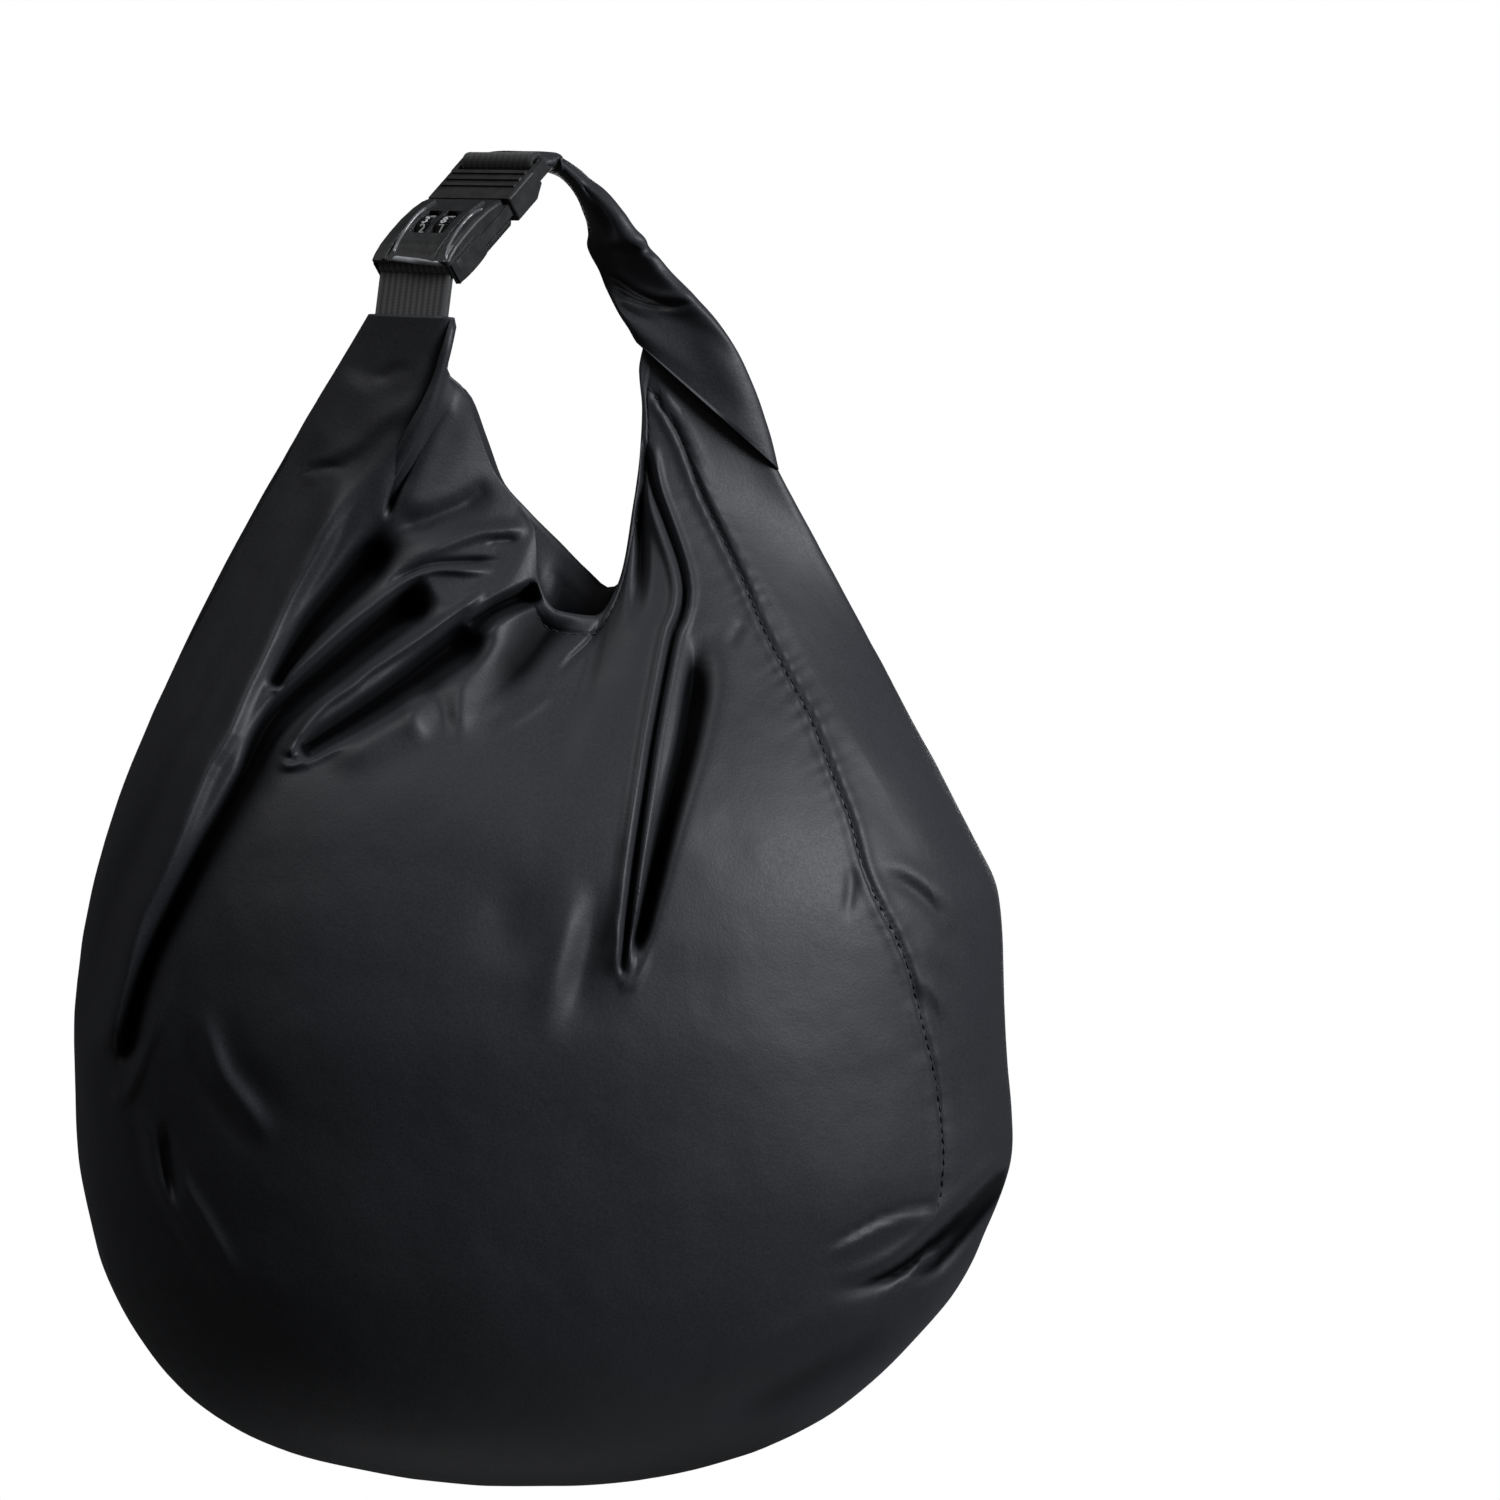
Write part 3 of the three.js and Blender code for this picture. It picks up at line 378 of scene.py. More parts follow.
# Folds of the front, from the left side to the right.
FOLDS = [
    # the long ridge down the left side
    fold([(352, 455), (338, 500), (322, 540), (306, 570), (290, 600), (262, 660), (245, 695), (228, 735),
          (205, 772), (170, 856), (141, 915), (124, 975), (112, 1025), (107, 1062)],
         [(0, 5.5, 4.2, 8), (-15, 8, 7, -3)], 0.14, 0.06),
    fold([(112, 1080), (118, 1098), (128, 1094), (140, 1065), (152, 1035), (166, 998), (182, 955)],
         [(0, 1.8, 2.8, 2.6)], 0.1, 0.5),
    # the pocket beside the ridge, closing to a narrow hook
    fold([(402, 522), (386, 541), (362, 570), (338, 597), (316, 622), (298, 646), (284, 668), (273, 690)],
         [(0, 8.2, 8.2, -15, 2.6)], 0.3, 0.05, wide=(1.1, 0.28)),
    # the upper lip and the thin crease over it
    fold([(500, 568), (480, 571), (440, 569), (420, 574), (400, 586), (370, 608), (345, 626), (320, 648),
          (300, 666), (285, 681), (272, 693)],
         [(0, 2, 2, 3.4)], 0.15, 0.04),
    fold([(504, 560), (460, 562), (430, 565), (404, 575), (380, 592)], [(0, 1.6, 1.6, -3.4)], 0.25, 0.3),
    # the pocket between the lips, running on down beside the ridge
    fold([(436, 588), (416, 602), (386, 624), (356, 649), (328, 673), (302, 695), (280, 717), (261, 744),
          (244, 778)],
         [(0, 7.6, 7.6, -16, 2.8)], 0.14, 0.3, wide=(1.0, 0.6)),
    fold([(282, 716), (262, 745), (244, 778), (222, 817), (190, 874), (160, 936), (140, 986), (127, 1035),
          (120, 1075)],
         [(0, 4.4, 9, -9)], 0.16, 0.1, wide=(1.0, 0.6)),
    # the lower lip: a thin crest, with the deepest pocket under it
    fold([(486, 588), (470, 602), (450, 616), (430, 630), (400, 650), (370, 670), (350, 687), (326, 704),
          (308, 724), (296, 742), (285, 757)],
         [(0, 2, 2, 5)], 0.1, 0.03),
    fold([(552, 584), (522, 596), (494, 609), (466, 630)], [(0, 3.2, 4.2, -13, 3)], 0.12, 0.3),
    fold([(488, 612), (460, 645), (430, 668), (396, 693), (362, 715), (332, 734), (308, 749), (298, 756)],
         [(0, 8, 8, -16, 2.8)], 0.22, 0.06, wide=(1.05, 0.45)),
    fold([(281, 758), (287, 766), (305, 762), (335, 748), (360, 734)],
         [(0, 1.8, 1.8, 2.6)], 0.1, 0.4),
    fold([(430, 692), (400, 722), (358, 748), (322, 764)], [(0, 5, 7, 3)], 0.25, 0.35),
    # the narrow crease down from the ear and the soft folds about it
    fold([(452, 362), (441, 392), (425, 424), (408, 462), (394, 495), (386, 522)],
         [(0, 1.5, 1.5, -9, 3), (7, 5, 9, 2.4), (-5, 4, 3, 0.8)], 0.12, 0.2),
    fold([(496, 474), (470, 500), (440, 514), (405, 526), (380, 545)], [(0, 4, 5, -3.6)], 0.3, 0.3),
    fold([(534, 524), (505, 530), (478, 533), (448, 544), (420, 556), (396, 570)], [(0, 3.6, 3, 3.4)], 0.1,
          0.35),
    fold([(520, 541), (500, 540), (484, 543)], [(0, 1.4, 1.4, -1)], 0.3, 0.3),
    fold([(357, 365), (335, 405), (318, 438), (302, 470)], [(0, 8, 9, 3.6)], 0.2, 0.4),
    fold([(418, 390), (384, 418), (352, 445), (318, 462), (300, 472)], [(0, 3, 3.4, 1.6), (6, 3, 4, -1.4)],
          0.3, 0.2),
    fold([(342, 464), (322, 467), (300, 473)], [(0, 1.3, 1.2, -1.8), (3.2, 2.4, 3, 1.1)], 0.3, 0.2),
    fold([(408, 362), (392, 372), (374, 382)], [(0, 2.4, 2.4, -1.4)], 0.3, 0.3),
    fold([(330, 470), (296, 545), (266, 610), (232, 690)], [(-6, 9, 8, 3.4), (10, 7, 7, -2)], 0.3, 0.4),
    # soft forms below the lips
    fold([(430, 672), (438, 700), (450, 745)], [(0, 5, 5, -2.4), (-11, 6, 5, 2)], 0.35, 0.4),
    fold([(470, 662), (462, 700), (458, 745)], [(0, 4, 5, 2)], 0.35, 0.4),
    fold([(556, 690), (520, 716), (485, 737)], [(0, 2.6, 2.6, 1.1), (-5, 4, 4, -1)], 0.3, 0.4),
    # the stitched crotch of the mouth
    fold([(606, 600), (592, 636), (570, 657), (545, 688), (510, 716), (470, 738)], [(-13, 13, 7, -7)], 0.1,
          0.45),
    fold([(603, 612), (592, 638), (572, 658), (556, 676)], [(0, 1.4, 1.4, -2.4)], 0.15, 0.4),
    # the pleat down the middle right, with its deep pocket
    fold([(642, 432), (643, 480), (641, 521), (640, 566), (636, 603), (630, 635)],
         [(0, 1.3, 1.5, -6)], 0.12, 0.35, wide=(0.7, 2.6)),
    fold([(646, 440), (653, 485), (667, 525), (680, 562), (685, 590), (682, 613), (674, 632), (668, 660),
          (661, 696), (653, 740), (646, 786), (638, 840), (632, 886), (627, 930), (623, 962), (621, 982)],
         [(0, 1.3, 1.3, -5), (-3.8, 2.4, 1.8, 2.6), (3.0, 1.4, 1.6, 2)], 0.06, 0.05),
    fold([(692, 622), (695, 656), (690, 700), (682, 745), (671, 790), (660, 835), (650, 880), (640, 925),
          (631, 962)],
         [(0, 3.4, 7.4, -13, 2.2)], 0.25, 0.1, wide=(1.1, 0.4)),
    fold([(612, 900), (618, 940), (619, 966), (624, 982), (634, 983), (644, 966), (655, 935)],
         [(0, 1.5, 1.5, 1.5)], 0.3, 0.4),
    fold([(606, 872), (598, 910), (588, 956), (576, 1004), (560, 1050)], [(0, 7, 12, -4), (-11, 8, 7, 2.2)],
          0.4, 0.45),
    fold([(522, 860), (514, 920), (506, 985)], [(0, 14, 16, -2.6)], 0.45, 0.45),
    # the side beyond the seam
    fold([(792, 655), (836, 715), (878, 768), (918, 826), (946, 878), (962, 940)], [(0, 6, 8, 1.8)], 0.4,
          0.4),
    fold([(868, 878), (902, 884), (936, 912), (960, 950), (970, 972)], [(0, 3, 3.6, -3), (6, 4, 4, 2)], 0.3,
          0.3),
    fold([(912, 968), (936, 994), (956, 1022), (970, 1052), (982, 1082)],
          [(0, 3.4, 4, 2.4), (7, 4, 4, -1.6), (-6, 4, 4, -1.4)], 0.25, 0.3),
    fold([(948, 1060), (960, 1100), (966, 1140)], [(0, 3.6, 4, -2)], 0.35, 0.35),
    fold([(852, 862), (850, 892), (845, 922)], [(0, 2.2, 2.6, -1.6)], 0.3, 0.4),
    fold([(744, 620), (736, 634), (728, 650)], [(0, 2.4, 2.4, -1)], 0.3, 0.4),
    # the lower right corner
    fold([(938, 1204), (905, 1210), (876, 1220), (846, 1236), (818, 1250)],
          [(0, 1.4, 1.4, -2.4), (3.6, 3, 4, 1.6)], 0.15, 0.3),
    fold([(1012, 1166), (992, 1184), (970, 1206), (936, 1237), (901, 1266), (864, 1284), (824, 1292)],
         [(0, 2.4, 4, -10), (-5, 3.4, 2.4, 3)], 0.06, 0.35),
    fold([(1008, 1182), (985, 1206), (960, 1236), (930, 1268), (900, 1284)], [(0, 2, 4, -8), (6, 3, 4, 2)],
          0.06, 0.3),
    fold([(892, 1284), (908, 1290), (916, 1304), (919, 1332)], [(0, 1.1, 1.1, -1.4), (2.6, 2, 2, 0.8)],
          0.15, 0.15),
    fold([(905, 1330), (845, 1357), (789, 1388), (745, 1414), (705, 1446)],
          [(0, 9, 9, -4), (-16, 9, 9, 2.4)], 0.2, 0.4),
    # the lower left
    fold([(200, 1000), (209, 1040), (222, 1076), (250, 1113), (276, 1148)],
          [(0, 4, 4, 2.6), (-8, 4, 4, -1.6), (8, 5, 6, -1.4)], 0.35, 0.35),
    fold([(162, 1118), (166, 1150), (172, 1186), (180, 1210)], [(0, 2.6, 3, -4.4)], 0.3, 0.35),
    fold([(176, 1160), (186, 1190), (202, 1216), (224, 1254), (244, 1284)], [(0, 2.6, 3, 2.6)], 0.25, 0.4),
    fold([(128, 1098), (146, 1130), (154, 1170), (176, 1218), (212, 1272), (250, 1320)],
          [(0, 2.4, 3, 1.8), (-5, 4, 3, -1.8)], 0.15, 0.4),
]

# Folds of the back, placed the same way, as if the front were clear.
BACK_FOLDS = [
    fold([(440, 400), (420, 470), (390, 560), (350, 660), (300, 780)], [(0, 3, 4, -5), (7, 5, 6, 2.4)], 0.1,
          0.4),
    fold([(420, 380), (370, 470), (300, 600), (240, 740), (190, 880)], [(0, 3.4, 5, -6), (-7, 5, 5, 2.6)],
          0.15, 0.3),
    fold([(480, 500), (470, 580), (440, 680), (420, 800), (410, 900)], [(0, 4, 5, -7), (-8, 5, 4, 2.4)],
          0.15, 0.4),
    fold([(660, 440), (680, 540), (700, 640), (690, 760), (670, 880)], [(0, 3.4, 5, -8), (-6, 3, 3, 2.4)],
          0.1, 0.3),
    fold([(700, 470), (760, 580), (820, 700), (870, 820), (900, 940)], [(0, 3, 4, -5), (7, 5, 5, 2.2)],
          0.15, 0.4),
    fold([(600, 640), (600, 740), (580, 860), (570, 960)], [(0, 6, 6, -3), (10, 7, 7, 2)], 0.3, 0.4),
    fold([(960, 1120), (900, 1200), (820, 1260), (740, 1290)], [(0, 3, 4, -5), (-6, 4, 3, 2)], 0.15, 0.35),
    fold([(150, 1090), (200, 1180), (280, 1250), (370, 1290)], [(0, 3, 4, -4.4), (6, 4, 4, 2)], 0.15, 0.35),
    fold([(340, 1000), (420, 1080), (520, 1120)], [(0, 5, 6, -2.4), (9, 6, 6, 1.6)], 0.35, 0.4),
]

SEAM = [(647, 386), (655, 396), (668, 414), (684, 446), (702, 494), (724, 539), (746, 585), (761, 621),
    (787, 671), (811, 717), (834, 776), (851, 820), (864, 868), (880, 905), (897, 938), (911, 975),
        (919, 1008), (930, 1052), (939, 1100), (944, 1150), (942, 1188), (936, 1214)]
BACK_SEAM = [(452, 380), (420, 470), (372, 580), (318, 690), (262, 800), (214, 920), (180, 1040),
    (168, 1150), (180, 1240)]


# How far from its path a fold may still lift the cloth, and a seam, in millimetres and in pixels.
FOLD_REACH = 70.0
SEAM_REACH = 60
PUCKER_PITCH = 7.3


def across_path(pixels, line):
    """Signed distance to a line in millimetres, and the share of its length at the nearest place."""
    a, b = line[:-1], line[1:]
    d = b - a
    length = np.linalg.norm(d, axis=1)
    along = np.concatenate([[0], np.cumsum(length)])
    best = np.full(len(pixels), np.inf)
    out = np.zeros((len(pixels), 2))
    for i in range(len(a)):
        rel = pixels - a[i]
        t = np.clip(rel @ d[i] / length[i] ** 2, 0, 1)
        away = rel - t[:, None] * d[i]
        distance = np.hypot(away[:, 0], away[:, 1])
        near = distance < best
        best[near] = distance[near]
        side = (rel @ np.array([d[i][1], -d[i][0]])) >= 0
        out[near, 0] = np.where(side, distance, -distance)[near]
        out[near, 1] = ((along[i] + t * length[i]) / along[-1])[near]
    return out[:, 0] * MM_PER_PIXEL, out[:, 1]


def bell(s, offset, before, after, height, power=2):
    """A bump across a fold, with a width on either side; a higher power gives a flat top and steep sides."""
    width = np.where(s < offset, before, after)
    return height * np.exp(-(np.abs((s - offset) / width) ** power))


def fold_shift(pixels, folds):
    """How far the folds lift the cloth towards the view, in millimetres."""
    lift = np.zeros(len(pixels))
    for fold in folds:
        line = spline(fold["path"], 40)
        wide = fold["wide"]
        reach = 3 * max(abs(b[0]) + max(b[1], b[2]) for b in fold["bells"]) * max(wide)
        reach = min(reach, FOLD_REACH) / MM_PER_PIXEL
        low, high = line.min(axis=0) - reach, line.max(axis=0) + reach
        near = np.flatnonzero(np.all((pixels > low) & (pixels < high), axis=1))
        s, t = across_path(pixels[near], line)
        scale = wide[0] + (wide[1] - wide[0]) * t
        fade = smooth(t, 0, fold["start"]) * (1 - smooth(t, 1 - fold["end"], 1))
        lift[near] += fade * sum(bell(s / scale, *b) for b in fold["bells"])
    return lift


def seam_shift(pixels, path, seed):
    """A sunk stitch line between two rolled edges, puckered by short waves that die out beside it."""
    line = spline(path, 90)
    length = np.linalg.norm(np.diff(line, axis=0), axis=1).sum() * MM_PER_PIXEL
    low, high = line.min(axis=0) - SEAM_REACH, line.max(axis=0) + SEAM_REACH
    near = np.flatnonzero(np.all((pixels > low) & (pixels < high), axis=1))
    s, t = across_path(pixels[near], line)
    fade = smooth(t, 0, 0.03) * (1 - smooth(t, 0.97, 1))
    run = t * length
    place = np.stack([run, 0 * s, 0 * s], axis=1)
    amount = 0.35 + 0.65 * np.abs(lattice_noise(place, 23.0, seed))
    wave = np.sin(2 * np.pi * run / PUCKER_PITCH + 2.2 * lattice_noise(place, 11.0, seed + 1) + 0.12 * s)
    lift = np.zeros(len(pixels))
    lift[near] = fade * (
        bell(s, 0, 1.0, 1.0, -1.5)
        + bell(s, -2.6, 2.2, 1.6, 0.8)
        + bell(s, 2.6, 1.6, 2.2, 0.5)
        + 0.4 * amount * wave * np.exp(-np.abs(s) / 4)
    )
    return lift


# Meshes


def make_mesh(name, points, faces, smooth_faces=True):
    """A mesh object from points in millimetres, standing in the scene's collection."""
    mesh = bpy.data.meshes.new(name)
    mesh.from_pydata((np.asarray(points) / 1000).tolist(), [], [list(map(int, f)) for f in faces])
    mesh.polygons.foreach_set("use_smooth", [smooth_faces] * len(mesh.polygons))
    mesh.update()
    piece = bpy.data.objects.new(name, mesh)
    bpy.context.scene.collection.objects.link(piece)
    return piece


def grid_faces(rows, columns, closed=True, start=0):
    """Quads of a grid of points, facing outwards where rows go up and columns go round by turn."""
    r = np.arange(rows - 1)[:, None]
    c = np.arange(columns if closed else columns - 1)[None, :]
    n = (c + 1) % columns
    quad = np.stack([r * columns + c, r * columns + n, (r + 1) * columns + n, (r + 1) * columns + c],
        axis=-1)
    return quad.reshape(-1, 4) + start


def set_face_uv(piece, uv):
    """A UV map from one place for each corner of each face, in the faces' order."""
    layer = piece.data.uv_layers.new(name="UVMap")
    layer.data.foreach_set("uv", np.asarray(uv, float).ravel())


def grid_uv(rows, columns, u, v):
    """Corner places of a closed grid, so that the last column doesn't run back across the pattern."""
    r = np.arange(rows - 1)[:, None] + np.zeros((1, columns), int)
    c = np.arange(columns)[None, :] + np.zeros((rows - 1, 1), int)
    corners = [(r, c), (r, c + 1), (r + 1, c + 1), (r + 1, c)]
    return np.stack([np.stack([u[cc], v[rr]], axis=-1) for rr, cc in corners], axis=2).reshape(-1, 2)


def dress(piece, material, body, slot, *nodes):
    """Gives a piece its material, hides the nodes that it stands for, and lets it ride; the slot is not used.
    """
    piece.data.materials.append(material)
    if nodes:
        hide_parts(*nodes)
    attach(piece, body)
    return piece


# Materials


def new_material(name, place="Object"):
    """An empty node material, its tree, its shader and the coordinates that its textures use."""
    material = bpy.data.materials.new(name)
    material.use_nodes = True
    tree = material.node_tree
    tree.nodes.clear()
    shader = tree.nodes.new("ShaderNodeBsdfPrincipled")
    output = tree.nodes.new("ShaderNodeOutputMaterial")
    tree.links.new(shader.outputs[0], output.inputs[0])
    return material, tree, shader, tree.nodes.new("ShaderNodeTexCoord").outputs[place]


def noise_node(tree, vector, scale, detail=2.0, rough=0.5):
    """Fractal noise from 0 to 1."""
    node = tree.nodes.new("ShaderNodeTexNoise")
    node.inputs["Scale"].default_value = scale
    node.inputs["Detail"].default_value = detail
    node.inputs["Roughness"].default_value = rough
    tree.links.new(vector, node.inputs["Vector"])
    return node.outputs["Fac"]


def ramp_node(tree, value, low, high, start=0.3, end=0.7):
    """A colour between low and high as a value goes from start to end."""
    node = tree.nodes.new("ShaderNodeValToRGB")
    node.color_ramp.elements[0].position = start
    node.color_ramp.elements[1].position = end
    node.color_ramp.elements[0].color = (*low, 1)
    node.color_ramp.elements[1].color = (*high, 1)
    tree.links.new(value, node.inputs[0])
    return node.outputs[0]


def range_node(tree, value, low, high, start=0.3, end=0.7):
    """A number between low and high as a value goes from start to end."""
    node = tree.nodes.new("ShaderNodeMapRange")
    for i, number in enumerate((start, end, low, high)):
        node.inputs[i + 1].default_value = number
    tree.links.new(value, node.inputs[0])
    return node.outputs[0]


def bump_node(tree, height, strength, distance, before=None):
    """A bumped normal, on top of another one where it is given."""
    node = tree.nodes.new("ShaderNodeBump")
    node.inputs["Strength"].default_value = strength
    node.inputs["Distance"].default_value = distance
    tree.links.new(height, node.inputs["Height"])
    if before is not None:
        tree.links.new(before, node.inputs["Normal"])
    return node.outputs[0]


def shade(colour, factor):
    """A colour made lighter or darker."""
    return tuple(min(1.0, c * factor) for c in colour)


def cloth_material(name, colour, roughness, sheen):
    """Satin coated nylon: grain, slack and a soft sheen; a painted shade attribute blackens its colour and
    takes away its gloss deep in the folds.
    """
    material, tree, shader, place = new_material(name)
    blotch = noise_node(tree, place, 14, 4)
    grain = noise_node(tree, place, 900, 3, 0.75)
    slack = noise_node(tree, place, 70, 3)
    mix = tree.nodes.new("ShaderNodeMix")
    mix.data_type = "RGBA"
    mix.inputs["Factor"].default_value = 0.35
    tree.links.new(ramp_node(tree, blotch, shade(colour, 0.88), shade(colour, 1.12)), mix.inputs[6])
    tree.links.new(ramp_node(tree, grain, shade(colour, 0.55), shade(colour, 1.5)), mix.inputs[7])
    # Painted shade: the fold depth attribute mixes the colour towards black and lowers the gloss in the
    # pockets, in place of their shadow.
    painted_fold_shade = tree.nodes.new("ShaderNodeAttribute")
    painted_fold_shade.attribute_name = "painted_fold_shade"
    deep = tree.nodes.new("ShaderNodeMix")
    deep.data_type = "RGBA"
    tree.links.new(range_node(tree, painted_fold_shade.outputs["Fac"], 0, 0.94, 0, 1), deep.inputs["Factor"])
    tree.links.new(mix.outputs[2], deep.inputs[6])
    deep.inputs[7].default_value = (0, 0, 0, 1)
    tree.links.new(deep.outputs[2], shader.inputs["Base Color"])
    tree.links.new(range_node(tree, painted_fold_shade.outputs["Fac"], 0.5, 0.02, 0, 1),
        shader.inputs["Specular IOR Level"])
    tree.links.new(range_node(tree, grain, roughness - 0.06, roughness + 0.06), shader.inputs["Roughness"])
    first = bump_node(tree, slack, 0.25, 0.0012)
    tree.links.new(bump_node(tree, grain, 0.35, 0.0003, first), shader.inputs["Normal"])
    shader.inputs["Sheen Weight"].default_value = sheen
    shader.inputs["Sheen Roughness"].default_value = 0.45
    shader.inputs["Sheen Tint"].default_value = (0.75, 0.78, 0.86, 1)
    return material


def webbing_material(name, colour):
    """Woven webbing: ribs along it and picks across them, from the strap's own UV in millimetres."""
    material, tree, shader, uv = new_material(name, "UV")
    ribs = tree.nodes.new("ShaderNodeTexWave")
    ribs.bands_direction = "X"
    ribs.inputs["Scale"].default_value = 0.1
    ribs.inputs["Distortion"].default_value = 0.4
    ribs.inputs["Detail"].default_value = 1
    tree.links.new(uv, ribs.inputs["Vector"])
    picks = tree.nodes.new("ShaderNodeTexWave")
    picks.bands_direction = "Y"
    picks.inputs["Scale"].default_value = 0.55
    picks.inputs["Distortion"].default_value = 1.2
    tree.links.new(uv, picks.inputs["Vector"])
    fuzz = noise_node(tree, uv, 3.5, 3)
    weave = tree.nodes.new("ShaderNodeMix")
    weave.inputs["Factor"].default_value = 0.25
    tree.links.new(ribs.outputs["Fac"], weave.inputs[2])
    tree.links.new(picks.outputs["Fac"], weave.inputs[3])
    tree.links.new(ramp_node(tree, weave.outputs[0], shade(colour, 0.55), shade(colour, 1.35), 0.1, 0.9),
        shader.inputs["Base Color"])
    first = bump_node(tree, weave.outputs[0], 0.5, 0.0003)
    tree.links.new(bump_node(tree, fuzz, 0.3, 0.0002, first), shader.inputs["Normal"])
    tree.links.new(range_node(tree, fuzz, 0.55, 0.75), shader.inputs["Roughness"])
    shader.inputs["Sheen Weight"].default_value = 0.25
    return material


def plastic_material(name, colour, roughness, grain_scale, grain_depth, coat=0.0):
    """Moulded plastic: faint grain, handling marks in its gloss, and slightly uneven colour."""
    material, tree, shader, place = new_material(name)
    grain = noise_node(tree, place, grain_scale, 3)
    marks = noise_node(tree, place, 160, 5, 0.65)
    tree.links.new(ramp_node(tree, marks, shade(colour, 0.85), shade(colour, 1.15)),
        shader.inputs["Base Color"])
    tree.links.new(range_node(tree, marks, roughness * 0.8, roughness * 1.3), shader.inputs["Roughness"])
    tree.links.new(bump_node(tree, grain, 0.15, grain_depth), shader.inputs["Normal"])
    shader.inputs["Coat Weight"].default_value = coat
    shader.inputs["Coat Roughness"].default_value = 0.08
    return material


def paint_material(name, colour):
    """Printed ink, slightly worn."""
    material, tree, shader, place = new_material(name)
    wear = noise_node(tree, place, 1800, 4)
    tree.links.new(ramp_node(tree, wear, shade(colour, 0.85), colour), shader.inputs["Base Color"])
    tree.links.new(bump_node(tree, wear, 0.2, 0.00005), shader.inputs["Normal"])
    shader.inputs["Roughness"].default_value = 0.45
    return material


def steel_material(name, colour):
    """Drawn steel wire, with fine marks round it."""
    material, tree, shader, place = new_material(name)
    marks = noise_node(tree, place, 2600, 3)
    tree.links.new(ramp_node(tree, marks, shade(colour, 0.8), colour), shader.inputs["Base Color"])
    tree.links.new(range_node(tree, marks, 0.22, 0.4), shader.inputs["Roughness"])
    tree.links.new(bump_node(tree, marks, 0.2, 0.00004), shader.inputs["Normal"])
    shader.inputs["Metallic"].default_value = 1.0
    return material


def floor_material(name, colour):
    """Matt studio paper."""
    material, tree, shader, place = new_material(name)
    fibre = noise_node(tree, place, 60, 4)
    tree.links.new(ramp_node(tree, fibre, shade(colour, 0.985), colour), shader.inputs["Base Color"])
    tree.links.new(bump_node(tree, fibre, 0.05, 0.0005), shader.inputs["Normal"])
    shader.inputs["Roughness"].default_value = 0.9
    return material


def colour_of(prop):
    """Red, green and blue of a colour setting."""
    return tuple(prop)[:3]


# Settings


def length_prop(name, description, default):
    """A length setting in metres."""
    return FloatProperty(
        name=name, description=description, default=default, unit="LENGTH", subtype="DISTANCE", precision=4
    )


def colour_prop(name, description, default):
    """A colour setting."""
    return FloatVectorProperty(
        name=name, description=description, default=default, subtype="COLOR", size=3, min=0, max=1
    )


def share_prop(name, description, default):
    """A setting from 0 to 1."""
    return FloatProperty(name=name, description=description, default=default, min=0, max=1,
        subtype="FACTOR")


def count_prop(name, description, default, least):
    """A setting that counts columns."""
    return IntProperty(name=name, description=description, default=default, min=least)


class HelmetBagSizes(PropertyGroup):
    """Sizes of the cloth and the straps."""

    bag_width: length_prop("Bag width", "Widest part of the body", 0.373)
    bag_depth: length_prop("Bag depth", "Front to back at the widest part", 0.27)
    body_height: length_prop("Body height", "From the lowest point up to the mouth", 0.354)
    handle_drop: length_prop("Handle drop", "From where the bag hangs down to the mouth", 0.168)
    cloth: length_prop("Cloth thickness", "Two plies of coated nylon", 0.0015)
    mouth_gap: length_prop("Mouth gap", "How far the mouth stands open", 0.076)
    hem_width: length_prop("Hem width", "Turned edge round the mouth", 0.0095)
    sleeve_width: length_prop("Sleeve width", "Width of the handle at the shoulder", 0.076)
    sleeve_thickness: length_prop("Sleeve thickness", "Thickness of the handle at the shoulder", 0.016)
    webbing_width: length_prop("Webbing width", "Width of both straps", 0.038)
    webbing_thickness: length_prop("Webbing thickness", "Thickness of the lower strap", 0.0014)
    webbing_drop: length_prop("Webbing drop", "From the lock's pin down to the ear", 0.02)
    stitch_pitch: length_prop("Stitch pitch", "From one stitch to the next", 0.0042)
    stitch_width: length_prop("Stitch width", "Thickness of the thread", 0.0006)
    front_columns: count_prop("Front columns", "Columns of the cloth's grid across the front", 496, 20)
    back_columns: count_prop("Back columns", "Columns of the cloth's grid across the back", 66, 10)


class HelmetBagColours(PropertyGroup):
    """Colours of the finishes."""

    cloth_colour: colour_prop("Cloth", "Coated nylon", (0.029, 0.0305, 0.0365))
    webbing_colour: colour_prop("Webbing", "Woven straps", (0.16, 0.161, 0.168))
    thread_colour: colour_prop("Thread", "Sewing thread", (0.020, 0.020, 0.023))
    gloss_colour: colour_prop("Lock", "Glossy plastic of the lock", (0.030, 0.031, 0.033))
    satin_colour: colour_prop("Clip", "Satin plastic of the clip", (0.034, 0.034, 0.036))
    # A light grey that paints the highlights on the lock's glossy rails and foot edge.
    painted_highlight_colour: colour_prop("Painted highlight edges", "Lighter mouldings of the lock, as painted highlights", (0.16, 0.165, 0.175))
    figure_colour: colour_prop("Figures", "Ink of the numbers", (0.85, 0.86, 0.88))
    steel_colour: colour_prop("Axle", "Steel of the axle", (0.55, 0.56, 0.58))
    floor_colour: colour_prop("Floor", "Studio floor", (0.88, 0.88, 0.88))
    cloth_roughness: share_prop("Cloth roughness", "How dull the nylon is", 0.53)
    cloth_sheen: share_prop("Cloth sheen", "Soft glow at grazing angles", 0.06)


def sizes():
    """The size settings in millimetres."""
    s = bpy.context.scene.helmet_bag_sizes
    names = [n for n, p in HelmetBagSizes.bl_rna.properties.items() if p.type == "FLOAT"]
    values = {n: getattr(s, n) * 1000 for n in names}
    values["front_columns"], values["back_columns"] = s.front_columns, s.back_columns
    return values


def colours():
    """The colour settings."""
    return bpy.context.scene.helmet_bag_colours


# Cloth body

